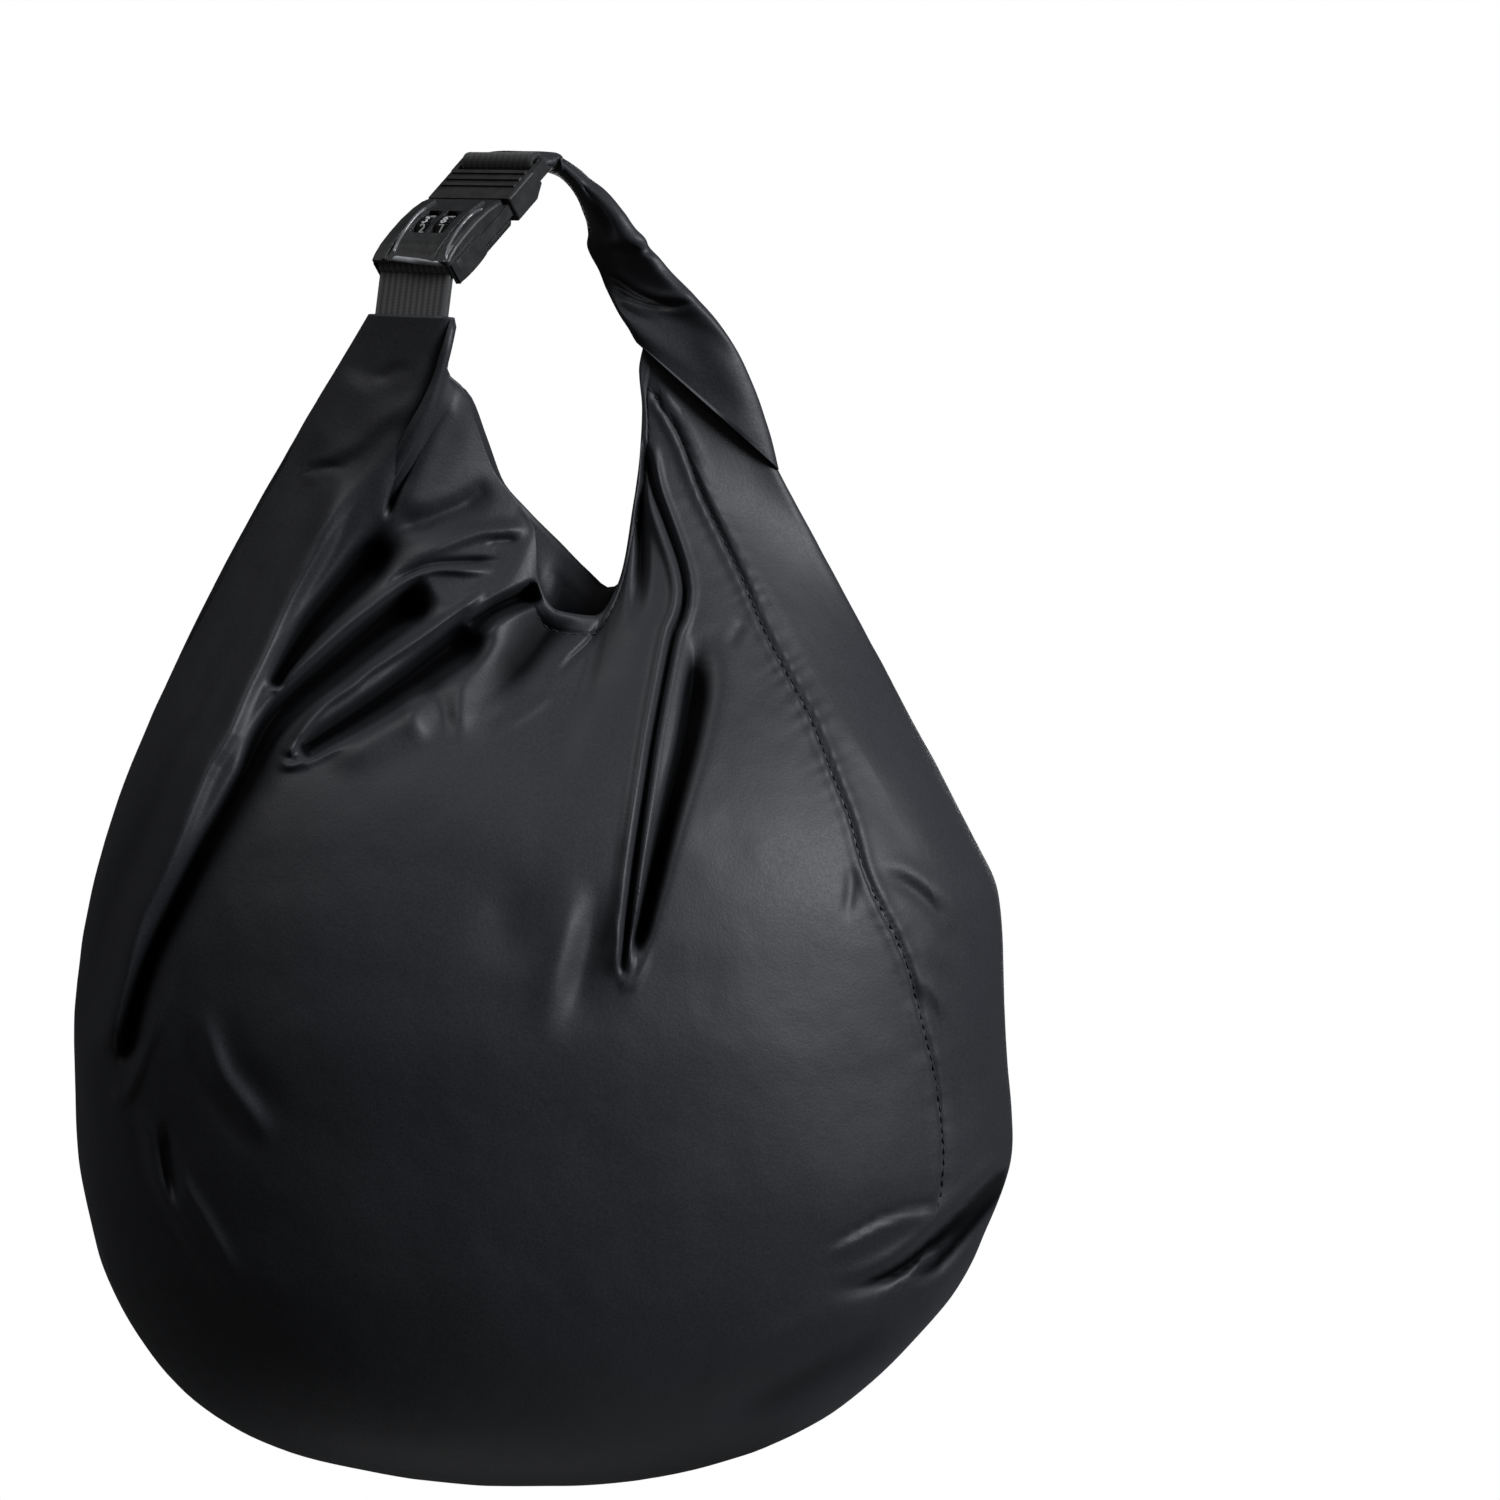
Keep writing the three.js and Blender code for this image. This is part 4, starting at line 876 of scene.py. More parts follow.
# Columns across each ear, rows up the body's lower and upper half, and rows up the shoulder.
EAR_COLUMNS = 18
BODY_ROWS = (40, 78)
SHOULDER_ROWS = 208
# How deep a fold goes, in millimetres, before the shade painted into it is at its darkest.
PAINTED_SHADE_DEPTH = 8.0

# The finished grid of the body, which the stitches are laid on.
_body = {}


def distance_to_rim(points):
    """How far each point of a grid is from its last row, along its own column."""
    step = np.linalg.norm(np.diff(points, axis=0), axis=2)
    return np.concatenate([np.cumsum(step[::-1], axis=0)[::-1], np.zeros((1, points.shape[1]))])


def body_grid(size):
    """The body's outer grid with folds, seam and hem, its inner one under the folds, its turns, and the shade
    painted into its folds.
    """
    turns = column_turns(size["front_columns"], size["back_columns"], EAR_COLUMNS)
    low, high = BODY_ROWS
    climb = np.concatenate([np.linspace(0, 0.5, low, endpoint=False), np.linspace(0.5, 1, high)])
    share = np.linspace(0, 1, SHOULDER_ROWS + 1)[1:]
    body = np.stack([body_surface(size, turns, np.full_like(turns, c)) for c in climb])
    shoulder = shoulder_surface(size, turns, share)
    points = relax(np.concatenate([body, shoulder]), 3)
    normal = surface_frame(points)
    normal[0] = [0, 0, -1]
    rows, columns = points.shape[:2]
    to_rim = distance_to_rim(points)
    rim_fade = smooth(to_rim, 1.0, 12.0)
    row = np.arange(rows)[:, None]
    facing = np.minimum(1, np.abs(np.sin(np.radians(turns))) / 0.22)[None, :] * smooth(row, 4, 18)
    pixels = seen(points)
    lift = np.zeros((rows, columns))
    folded = np.zeros((rows, columns))
    front = turns <= 180
    for mask, folds, seam, seed in ((front, FOLDS, SEAM, 5), (~front, BACK_FOLDS, BACK_SEAM, 9)):
        flat = pixels[:, mask].reshape(-1, 2)
        folded[:, mask] = fold_shift(flat, folds).reshape(rows, -1)
        lift[:, mask] = seam_shift(flat, seam, seed).reshape(rows, -1)
    slack = (
        0.9 * lattice_noise(points, 62.0, 21)
        + 0.35 * lattice_noise(points, 24.0, 22)
        + 0.12 * lattice_noise(points, 9.0, 23)
    )
    lift = lift * rim_fade * facing + slack * smooth(to_rim, 2, 40) * smooth(row, 2, 12)
    folded = folded * rim_fade * facing
    hem_line = size["hem_width"]
    hem = bell(to_rim, hem_line, 0.9, 0.9,
        -0.8) + 0.55 * (1 - smooth(to_rim, hem_line - 0.8, hem_line + 0.4))
    between = smooth(np.abs(turns - 180), 30, 40) * smooth(np.minimum(turns, 360 - turns), EAR_TURN,
        EAR_TURN + 8)
    between = between * np.where(front, smooth(turns, 72, 84), 1)
    lift = lift + hem * between[None, :] * smooth(to_rim, 0, 2)
    to_view = unit(EYE - points) * np.where(front, 1.0, -1.0)[None, :, None]
    lowest = np.minimum(folded, 0)
    for axis, reach in ((1, 8), (0, 12)):
        lowest = np.minimum.reduce([np.roll(lowest, k, axis=axis) for k in range(-reach, reach + 1)])
    depth = size["cloth"] + 3.0 * smooth(to_rim, 14, 60)
    sunk = lowest * smooth(to_rim, 0.5, 5)
    inner = points + normal * (np.minimum(lift, 0) - depth)[..., None] + to_view * sunk[..., None]
    points = points + normal * lift[..., None] + to_view * folded[..., None]
    points[0] = points[0].mean(axis=0)
    inner[0] = inner[0].mean(axis=0)
    # The last value is painted shade, growing with a fold's depth.
    return points, inner, turns, smooth(-folded, 0.8, PAINTED_SHADE_DEPTH)


def relax(points, times):
    """Evens out small breaks in curvature: a running mean along each column, with its ends kept."""
    for _ in range(times):
        mid = points[1:-1] * 0.5 + (points[:-2] + points[2:]) * 0.25
        points = np.concatenate([points[:1], mid, points[-1:]])
    return points


def cloth_part(name, outer, inner, normal, painted_fold_shade):
    """One part of the cloth: its outer grid, the inner one with fewer rows, and the rim between them."""
    rows, columns = outer.shape[:2]
    near_rim = rows - 34
    keep = np.unique(np.concatenate([[0, 4], np.arange(8, near_rim, 9), np.arange(near_rim, rows, 3),
        [rows - 1]]))
    points = np.vstack([outer.reshape(-1, 3), inner[keep].reshape(-1, 3)])
    n_out = rows * columns
    c = np.arange(columns - 1)
    top_out, top_in = (rows - 1) * columns, n_out + (len(keep) - 1) * columns
    lip = np.stack([top_out + c, top_out + c + 1, top_in + c + 1, top_in + c], axis=1)
    outside = grid_faces(rows, columns, closed=False)
    inside = grid_faces(len(keep), columns, closed=False, start=n_out)[:, ::-1]
    piece = make_mesh(name, points, np.vstack([outside, inside, lip]))
    shared_normals = np.zeros((len(points), 3))
    for edge in (0, columns - 1):
        shared_normals[edge:n_out:columns] = normal[:, edge]
        shared_normals[n_out + edge :: columns] = -normal[keep, edge]
    piece.data.normals_split_custom_set_from_vertices(shared_normals.tolist())
    # Painted shade for the pockets of the folds, with a third of it on the inner face.
    painted_shade_layer = piece.data.attributes.new("painted_fold_shade", "FLOAT", "POINT")
    painted_shade_layer.data.foreach_set("value", np.concatenate([painted_fold_shade.ravel(), 0.3 * painted_fold_shade[keep].ravel()]))
    return piece


def cloth_body():
    """Both halves of the front, and the back; they share their edge columns and the normals there."""
    size = sizes()
    outer, inner, turns, painted_fold_shade = body_grid(size)
    normal = surface_frame(outer)
    normal[0] = [0, 0, -1]
    _body["outer"], _body["normal"], _body["turns"] = outer, normal, turns
    in_front = np.count_nonzero(turns <= 180)
    middle, last = in_front // 2, in_front - 1
    spans = (("front_left_cloth", 0, middle), ("front_right_cloth", middle, last),
        ("back_cloth", last, len(turns)))
    pieces = []
    for name, low, high in spans:
        index = np.arange(low, high + 1) % len(turns)
        pieces.append(cloth_part(name, outer[:, index], inner[:, index], normal[:, index],
            painted_fold_shade[:, index]))
    return pieces


def on_cloth(pixels, front=True):
    """Places on the outer face that are seen at these pixels, and their normals."""
    outer, normal, turns = _body["outer"], _body["normal"], _body["turns"]
    mask = (turns <= 180) if front else (turns > 180)
    grid, facing = outer[:, mask], normal[:, mask]
    flat, nf = grid.reshape(-1, 3), facing.reshape(-1, 3)
    view = seen(flat)
    ok = (nf[:, 1] < 0.1) if front else (nf[:, 1] > -0.1)
    view = np.where(ok[:, None], view, 1e6)
    index = np.array([np.argmin(((view - p) ** 2).sum(axis=1)) for p in pixels])
    place, n = flat[index], nf[index]
    shift = (np.asarray(pixels) - view[index]) * MM_PER_PIXEL
    move = np.stack([shift[:, 0], 0 * shift[:, 0], -shift[:, 1]], axis=1)
    slope = np.where(np.abs(n[:, 1]) < 0.25, 0.25 * np.sign(n[:, 1] + 1e-9), n[:, 1])
    move[:, 1] = -(move[:, 0] * n[:, 0] + move[:, 2] * n[:, 2]) / slope
    return place + move, n


class HELMETBAG_OT_cloth_body(Operator):
    """Make the cloth body with its folds, seams and hem"""

    bl_idname = "helmet_bag.cloth_body"
    bl_label = "Cloth body"

    def execute(self, context):
        look = colours()
        material = cloth_material("coated_nylon", colour_of(look.cloth_colour), look.cloth_roughness,
            look.cloth_sheen)
        for i, piece in enumerate(cloth_body()):
            dress(piece, material, "bag", "bag_cloth", *(["bag_shell"] if i == 0 else []))
        return {"FINISHED"}


def stitch_run(points, normals, size, name):
    """Stitches along a line on the cloth, one for each step: rods with rounded ends, pressed half in."""
    gaps = np.linalg.norm(np.diff(points, axis=0), axis=1)
    run = np.concatenate([[0], np.cumsum(gaps)])
    count = int(run[-1] / size["stitch_pitch"])
    start = (np.arange(count) + 0.18) * size["stitch_pitch"]
    stop = (np.arange(count) + 0.82) * size["stitch_pitch"]

    def place(at, what):
        return np.stack([np.interp(at, run, what[:, i]) for i in range(3)], axis=1)

    a, b = place(start, points), place(stop, points)
    up = unit(place((start + stop) / 2, normals))
    way = unit(b - a)
    side = unit(np.cross(way, up))
    along = np.array([0.0, 0.1, 0.3, 0.7, 0.9, 1.0])
    girth = np.array([0.15, 0.75, 1.0, 1.0, 0.75, 0.15])
    ring = np.linspace(0, 2 * np.pi, 6, endpoint=False)
    centre = a[:, None] + (b - a)[:, None] * along[None, :, None]
    centre = centre + up[:, None] * (size["stitch_width"] * (0.15 + 0.2 * np.sin(np.pi * along)))[None, :,
        None]
    cos, sin = np.cos(ring)[None, None, :, None], np.sin(ring)[None, None, :, None]
    offset = side[:, None, None] * cos + up[:, None, None] * sin
    points = centre[:, :, None] + offset * (girth * size["stitch_width"] / 2)[None, :, None, None]
    faces = []
    one = grid_faces(6, 6)
    caps = [[5, 4, 3, 2, 1, 0], [30, 31, 32, 33, 34, 35]]
    for k in range(count):
        faces += list(one[:, ::-1] + 36 * k) + [[i + 36 * k for i in c[::-1]] for c in caps]
    return make_mesh(name, points.reshape(-1, 3), faces)


class HELMETBAG_OT_stitching(Operator):
    """Sew the seams and the hem of the mouth"""

    bl_idname = "helmet_bag.stitching"
    bl_label = "Stitching"

    def execute(self, context):
        size, look = sizes(), colours()
        thread = cloth_material("thread", colour_of(look.thread_colour), 0.6, 0.1)
        for name, path, front in (("front_seam_stitches", SEAM, True),
                ("back_seam_stitches", BACK_SEAM, False)):
            points, normals = on_cloth(spline(path, 260), front)
            dress(stitch_run(points, normals, size, name), thread, "bag", "bag_cloth")
        outer, normal, turns = _body["outer"], _body["normal"], _body["turns"]
        to_rim = distance_to_rim(outer)
        for name, low, high in (("front_hem_stitches", 80, 140), ("back_hem_stitches", 222, 324)):
            columns = np.flatnonzero((turns > low) & (turns < high))
            line, facing = [], []
            for c in columns:
                at = np.interp(size["hem_width"], to_rim[::-1, c], np.arange(len(outer))[::-1])
                k, f = int(at), at - int(at)
                line.append(outer[k, c] * (1 - f) + outer[min(k + 1, len(outer) - 1), c] * f)
                facing.append(normal[k, c])
            piece = stitch_run(np.array(line), np.array(facing), size, name)
            dress(piece, thread, "bag", "bag_cloth")
        return {"FINISHED"}


# Handle sleeve

# Sections of the sleeve from the clip to the right ear: across, back and drop of its centre as shares of the
# handle's drop, the direction of its width, and its width and thickness as shares of those at the shoulder.
SLEEVE_ROWS, SLEEVE_AROUND = 300, 96
SLEEVE = table(
    "at across back drop wx wy wz wide thick",
    [
        [0, -0.11, -0.001, -0.0145, 0.764, -0.644, -0.047, 0.56, 0.62],
        [1, -0.058, 0.036, -0.0185, 0.7, -0.71, -0.03, 0.585, 0.58],
        [2, -0.018, 0.0535, -0.0202, 0.35, -0.94, 0, 0.54, 0.46],
        [3, 0.016, 0.0607, -0.0083, 0.05, -1, 0, 0.54, 0.44],
        [4, 0.048, 0.06, 0.0143, 0, -1, 0, 0.55, 0.5],
        [5, 0.078, 0.055, 0.0476, 0, -1, 0, 0.56, 0.58],
        [6, 0.103, 0.045, 0.088, 0.1, -0.99, 0, 0.57, 0.68],
        [7, 0.133, 0.03, 0.1405, 0.32, -0.944, -0.06, 0.58, 0.7],
        [8, 0.17, 0.006, 0.2, 0.605, -0.776, -0.173, 0.61, 0.72],
        [9, 0.222, -0.024, 0.269, 0.758, -0.6, -0.255, 0.65, 0.76],
        [10, 0.26, -0.042, 0.3226, 0.86, -0.4, -0.316, 0.7, 0.82],
        [11, 0.3, -0.0595, 0.3905, 0.9, -0.15, -0.41, 0.76, 0.9],
        [12, 0.347, -0.0714, 0.4917, 0.827, 0, -0.56, 0.87, 0.96],
        [13, 0.369, -0.0714, 0.563, 0.746, 0, -0.666, 1, 1],
    ],
)

SLEEVE_FOLDS = [
    fold([(579, 181), (592, 200), (604, 222), (618, 245)], [(0, 2, 2.4, -2.6), (5, 3, 3, 1.2)], 0.2, 0.3),
    fold([(588, 178), (604, 196), (622, 222), (650, 256)], [(0, 3, 3, 1.6)], 0.2, 0.4),
    fold([(600, 247), (622, 250), (650, 250), (680, 246)], [(0, 1.8, 2, -1.2), (4, 2.4, 3, 1)], 0.2, 0.4),
    fold([(608, 272), (622, 284), (642, 296), (672, 304), (700, 302)],
          [(0, 1.2, 1.4, -1.6), (-3, 2, 2, 0.8), (3, 2, 2, 0.9)], 0.15, 0.35),
    fold([(612, 288), (628, 298), (652, 306), (684, 308)], [(0, 1.2, 1.2, -1.3), (3, 2, 2.4, 0.9)], 0.2,
          0.4),
    fold([(614, 300), (632, 314), (660, 324)], [(0, 1.6, 2, -0.9), (4, 3, 3, 0.7)], 0.2, 0.5),
    fold([(650, 262), (668, 272), (690, 296)], [(0, 2, 2.4, -0.8)], 0.3, 0.4),
    fold([(690, 318), (712, 352), (738, 392), (758, 430)], [(0, 6, 6, 1.2)], 0.3, 0.3),
]


def sleeve_centre(size, at):
    """The sleeve's centre line, from the SLEEVE table's shares of the handle's drop."""
    across, back, drop = (curve(SLEEVE["at"], SLEEVE[k], at) * size["handle_drop"] for k in ("across",
        "back", "drop"))
    return np.stack([across, back, -drop], axis=-1)


def sleeve_grid(size, steps, around):
    """Flattened ovals carried along the centre line, turning from the buckle's width to the shoulder's."""
    at = np.linspace(0, 13, steps)
    centre = sleeve_centre(size, at)
    along = unit(sleeve_centre(size, at + 0.2) - sleeve_centre(size, at - 0.2))
    wide = np.stack([curve(SLEEVE["at"], SLEEVE[k], at) for k in ("wx", "wy", "wz")], axis=-1)
    square = 1 - smooth(at, 2, 6)
    wide = unit(wide - along * (square * dot(wide, along))[:, None])
    thick = unit(np.cross(wide, along))
    half_width = curve(SLEEVE["at"], SLEEVE["wide"], at) * size["sleeve_width"] / 2
    half_thick = curve(SLEEVE["at"], SLEEVE["thick"], at) * size["sleeve_thickness"] / 2
    angle = 2 * np.pi * np.arange(around) / around
    c, s = np.cos(angle), np.sin(angle)
    flat = np.sign(s) * np.abs(s) ** 0.75
    points = centre[:, None] + wide[:, None] * (half_width[:, None] * c)[..., None]
    points = relax(points + thick[:, None] * (half_thick[:, None] * flat)[..., None], 6)
    climb = np.gradient(points, axis=0)
    round_ = np.roll(points, -1, axis=1) - np.roll(points, 1, axis=1)
    normal = unit(np.cross(climb, round_))
    middle = points.mean(axis=1, keepdims=True)
    if np.mean(dot(normal, points - middle)) < 0:
        normal = -normal
    front = normal[..., 1] < 0.15
    lift = fold_shift(seen(points).reshape(-1, 2), SLEEVE_FOLDS)
    lift = lift.reshape(points.shape[:2]) * front * smooth(-normal[..., 1], -0.15, 0.3)
    lift += 0.5 * lattice_noise(points, 26.0, 41) + 0.22 * lattice_noise(points, 10.0, 42)
    lift += 0.8 * lattice_noise(points * [1, 1, 2.2], 34.0, 43) * smooth(at, 5, 9)[:, None]
    edge = smooth(at, 0, 0.35) * (1 - smooth(at, 12.8, 13))
    return points + normal * (lift * edge[:, None])[..., None], normal


class HELMETBAG_OT_handle_sleeve(Operator):
    """Make the twisted cloth sleeve of the handle"""

    bl_idname = "helmet_bag.handle_sleeve"
    bl_label = "Handle sleeve"

    def execute(self, context):
        size, look = sizes(), colours()
        outer, normal = sleeve_grid(size, SLEEVE_ROWS, SLEEVE_AROUND)
        rows, columns = outer.shape[:2]
        inner = (outer - normal * size["cloth"])[::3]
        points = np.vstack([outer.reshape(-1, 3), inner.reshape(-1, 3)])
        n_out = rows * columns
        out_faces = grid_faces(rows, columns)
        in_faces = grid_faces(len(inner), columns, start=n_out)[:, ::-1]
        c = np.arange(columns)
        n = (c + 1) % columns
        last, last_in = (rows - 1) * columns, n_out + (len(inner) - 1) * columns
        start_lip = np.stack([c, n_out + c, n_out + n, n], axis=1)
        end_lip = np.stack([last + c, last + n, last_in + n, last_in + c], axis=1)
        faces = np.vstack([out_faces, in_faces, start_lip, end_lip])
        piece = make_mesh("handle_cloth", points, faces)
        face_outwards(piece)
        material = cloth_material("handle_nylon", colour_of(look.cloth_colour), look.cloth_roughness,
            look.cloth_sheen)
        dress(piece, material, "bag", "bag_cloth", "handle_sleeve")
        return {"FINISHED"}


def face_outwards(piece):
    """Turns a closed piece's faces outwards if its signed volume is negative."""
    mesh = piece.data
    mesh.calc_loop_triangles()
    tri = np.zeros(len(mesh.loop_triangles) * 3, int)
    mesh.loop_triangles.foreach_get("vertices", tri)
    co = np.zeros(len(mesh.vertices) * 3)
    mesh.vertices.foreach_get("co", co)
    p = co.reshape(-1, 3)[tri.reshape(-1, 3)]
    if np.einsum("ij,ij->i", p[:, 0], np.cross(p[:, 1], p[:, 2])).sum() < 0:
        mesh.flip_normals()


# Straps


# How far the webbing goes into the ear, and the bend, length, thickness and darker shade of the handle's end.
WEBBING_TUCK = 2.5
HANDLE_BEND, HANDLE_TAIL, HANDLE_FOLD = math.radians(40), 8.5, 2.4
UPPER_SHADE = 0.16


def strap_path(pin, tail, length, thickness, gap=0.04):
    """The middle line of a strap in the buckle's side view: up one leg, round the pin, down the other."""
    radius = PIN_RADIUS + GAP + thickness / 2
    leg = (thickness + gap) / 2
    lean = math.asin(leg / radius)
    forward, aside = np.array(tail), np.array([tail[1], -tail[0]])
    angle = lean + (2 * np.pi - 2 * lean) * np.linspace(0, 1, 40)
    loop = np.outer(radius * np.cos(angle), forward) + np.outer(radius * np.sin(angle), aside)
    run = np.linspace(length, radius * math.cos(lean), 24, endpoint=False)
    first = np.outer(run, forward) + leg * aside
    last = np.outer(run, forward)[::-1] - leg * aside
    return np.array(pin) + np.vstack([first, loop, last])


def strap_piece(name, pin, tail, length, thickness, width):
    """A rounded flat section carried along the strap's path, with UV in millimetres along and across."""
    path = strap_path(pin, tail, length, thickness)
    way = unit(np.gradient(path, axis=0))
    side = np.stack([way[:, 1], -way[:, 0]], axis=1)
    t = np.linspace(-1, 1, 41)
    across = width / 2 * t
    body = np.where(np.abs(t) > 0.93, np.sqrt(np.maximum(0, 1 - ((np.abs(t) - 0.93) / 0.07) ** 2)), 1.0)
    half = thickness / 2 * np.maximum(body, 0.12) * (1 - 0.05 * (np.arange(41) % 2))
    top = np.stack([across, half], axis=1)
    section = np.vstack([top, (top * [1, -1])[::-1]])
    x = section[:, 0][None, :] + 0 * path[:, :1]
    yz = path[:, None] + side[:, None] * section[:, 1][None, :, None]
    points = buckle_point(np.stack([x, yz[..., 0], yz[..., 1]], axis=-1))
    rows, columns = points.shape[:2]
    length_along = np.concatenate([[0], np.cumsum(np.linalg.norm(np.diff(path, axis=0), axis=1))])
    first, last = list(range(columns))[::-1], list(range((rows - 1) * columns, rows * columns))
    piece = make_mesh(name, points.reshape(-1, 3), [*grid_faces(rows, columns), first, last])
    u = np.concatenate([section[:, 0], section[:1, 0]])
    uv = grid_uv(rows, columns, u, length_along)
    caps = [[x, 0.0] for x in section[::-1, 0]] + [[x, length_along[-1]] for x in section[:, 0]]
    set_face_uv(piece, np.vstack([uv, caps]))
    face_outwards(piece)
    return piece


class HELMETBAG_OT_straps(Operator):
    """Make the webbing loops at both ends of the buckle"""

    bl_idname = "helmet_bag.straps"
    bl_label = "Straps"

    def execute(self, context):
        size, look = sizes(), colours()
        colour = colour_of(look.webbing_colour)
        fall = (dot(FALL, INWARDS), dot(FALL, ALONG))
        bend = (math.sin(HANDLE_BEND), math.cos(HANDLE_BEND))
        lower = (LOCK_PIN, fall, size["webbing_drop"] + WEBBING_TUCK, size["webbing_thickness"])
        upper = (CLIP_PIN, bend, HANDLE_TAIL, HANDLE_FOLD)
        for side, course, darker in (("lower", lower, 1), ("upper", upper, UPPER_SHADE)):
            piece = strap_piece(side + "_webbing", *course, size["webbing_width"])
            material = webbing_material(side + "_webbing_weave", shade(colour, darker))
            dress(piece, material, "bag", "webbing", side + "_strap")
        return {"FINISHED"}


# Buckle


def soften(node, width):
    """Rounds the sharp edges of a moulded node in the render: weld, clear flat faces, bevel."""
    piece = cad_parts[node]
    weld = piece.modifiers.new("weld", "WELD")
    weld.merge_threshold = 2e-6
    flat = piece.modifiers.new("flat", "DECIMATE")
    flat.decimate_type = "DISSOLVE"
    flat.angle_limit = math.radians(0.5)
    round_ = piece.modifiers.new("round", "BEVEL")
    round_.width = width
    round_.segments = 2
    round_.limit_method = "ANGLE"
    round_.angle_limit = math.radians(40)
    round_.harden_normals = False
    return piece


def finish_node(node, material):
    """Puts a material in every slot of a node's mesh."""
    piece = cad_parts[node]
    if piece.material_slots:
        for s in piece.material_slots:
            s.material = material
    else:
        piece.data.materials.append(material)


# Mouldings on the lock's face, coloured lighter than the gloss as painted highlights: width, height, how much
# lighter than the highlight colour, and lines in pixels.
TRIMS = {
    "lock_rails": (
        1.5,
        0.7,
        1,
        [
            [(393, 254), (398, 242), (406, 229), (416, 216), (427, 207)],
            [(445, 262), (449, 246), (458, 230), (470, 216), (484, 208)],
        ],
    ),
    "lock_foot_bar": (2.4, 0.8, 3.6, [[(392, 258), (404, 259.5), (420, 261.5), (436, 263.5), (446, 265)]]),
}


def on_node(pixels, node):
    """Places on a node's face seen at these pixels, and the normals there; pixels that miss are dropped."""
    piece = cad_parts[node]
    mesh = piece.data
    tree = BVHTree.FromPolygons([piece.matrix_world @ v.co for v in mesh.vertices],
        [tuple(p.vertices) for p in mesh.polygons])
    places, normals = [], []
    for x, y in pixels:
        right, up = (x - PICTURE / 2) * MM_PER_PIXEL, (PICTURE / 2 - y) * MM_PER_PIXEL
        way = SIGHT * FOCUS + np.array([right, 0, 0]) + SIGHT_UP * up
        hit, normal, _, _ = tree.ray_cast(Vector(EYE / 1000), Vector(way).normalized())
        if hit is not None:
            places.append(np.array(hit) * 1000)
            normals.append(np.array(normal))
    return np.array(places), np.array(normals)


BEAD_SIDES = 14


def moulding(points, normals, width, height):
    """A rounded bead along a line on a face: ovals carried along it, half sunk in, tapered at both ends."""
    way = unit(np.gradient(points, axis=0))
    up = unit(normals - way * dot(normals, way)[:, None])
    side = np.cross(way, up)
    angle = np.linspace(0, 2 * np.pi, BEAD_SIDES, endpoint=False)
    t = np.linspace(0, 1, len(points))
    taper = np.sqrt(np.clip(np.minimum(t, 1 - t) / 0.06, 0.02, 1))
    c = (np.cos(angle)[None, :] * width / 2 * taper[:, None])[..., None]
    h = (np.sin(angle)[None, :] * height * taper[:, None])[..., None]
    grid = points[:, None] + side[:, None] * c + up[:, None] * h
    count = len(points)
    first = list(range(BEAD_SIDES))[::-1]
    last = list(range(BEAD_SIDES * (count - 1), BEAD_SIDES * count))
    return grid.reshape(-1, 3), [*grid_faces(count, BEAD_SIDES), first, last]


def running_mean(values, reach):
    """Each row's mean with its neighbours on either side."""
    return np.array([np.mean(values[max(0, i - reach) : i + reach + 1],
        axis=0) for i in range(len(values))])


class HELMETBAG_OT_buckle(Operator):
    """Finish the lock, the clip and the axle"""

    bl_idname = "helmet_bag.buckle"
    bl_label = "Buckle"

    def execute(self, context):
        look = colours()
        gloss = plastic_material("lock_gloss", colour_of(look.gloss_colour), 0.34, 900, 0.00003, coat=0.25)
        satin = plastic_material("clip_satin", colour_of(look.satin_colour), 0.36, 2200, 0.00008)
        steel = steel_material("axle_wire", colour_of(look.steel_colour))
        for node, material, width in (("lock_housing", gloss, 0.0003), ("clip", satin, 0.0005)):
            soften(node, width)
            finish_node(node, material)
        finish_node("dial_axle", steel)
        for name, (width, height, lighter, lines) in TRIMS.items():
            points, faces, base = [], [], 0
            for line in lines:
                places, normals = on_node(spline(line, 60), "lock_housing")
                grid, quads = moulding(running_mean(places, 2), unit(running_mean(normals, 6)), width,
                    height)
                points.append(grid)
                faces += [[i + base for i in quad] for quad in quads]
                base += len(grid)
            piece = make_mesh(name, np.vstack(points), faces)
            face_outwards(piece)
            # The mouldings are glossy black plastic; their lighter colour is a painted highlight.
            colour = shade(colour_of(look.painted_highlight_colour), lighter)
            dress(piece, plastic_material(name + "_painted_highlight", colour, 0.2, 900, 0.00002, coat=0.6), "bag",
                "gloss_black")
        return {"FINISHED"}


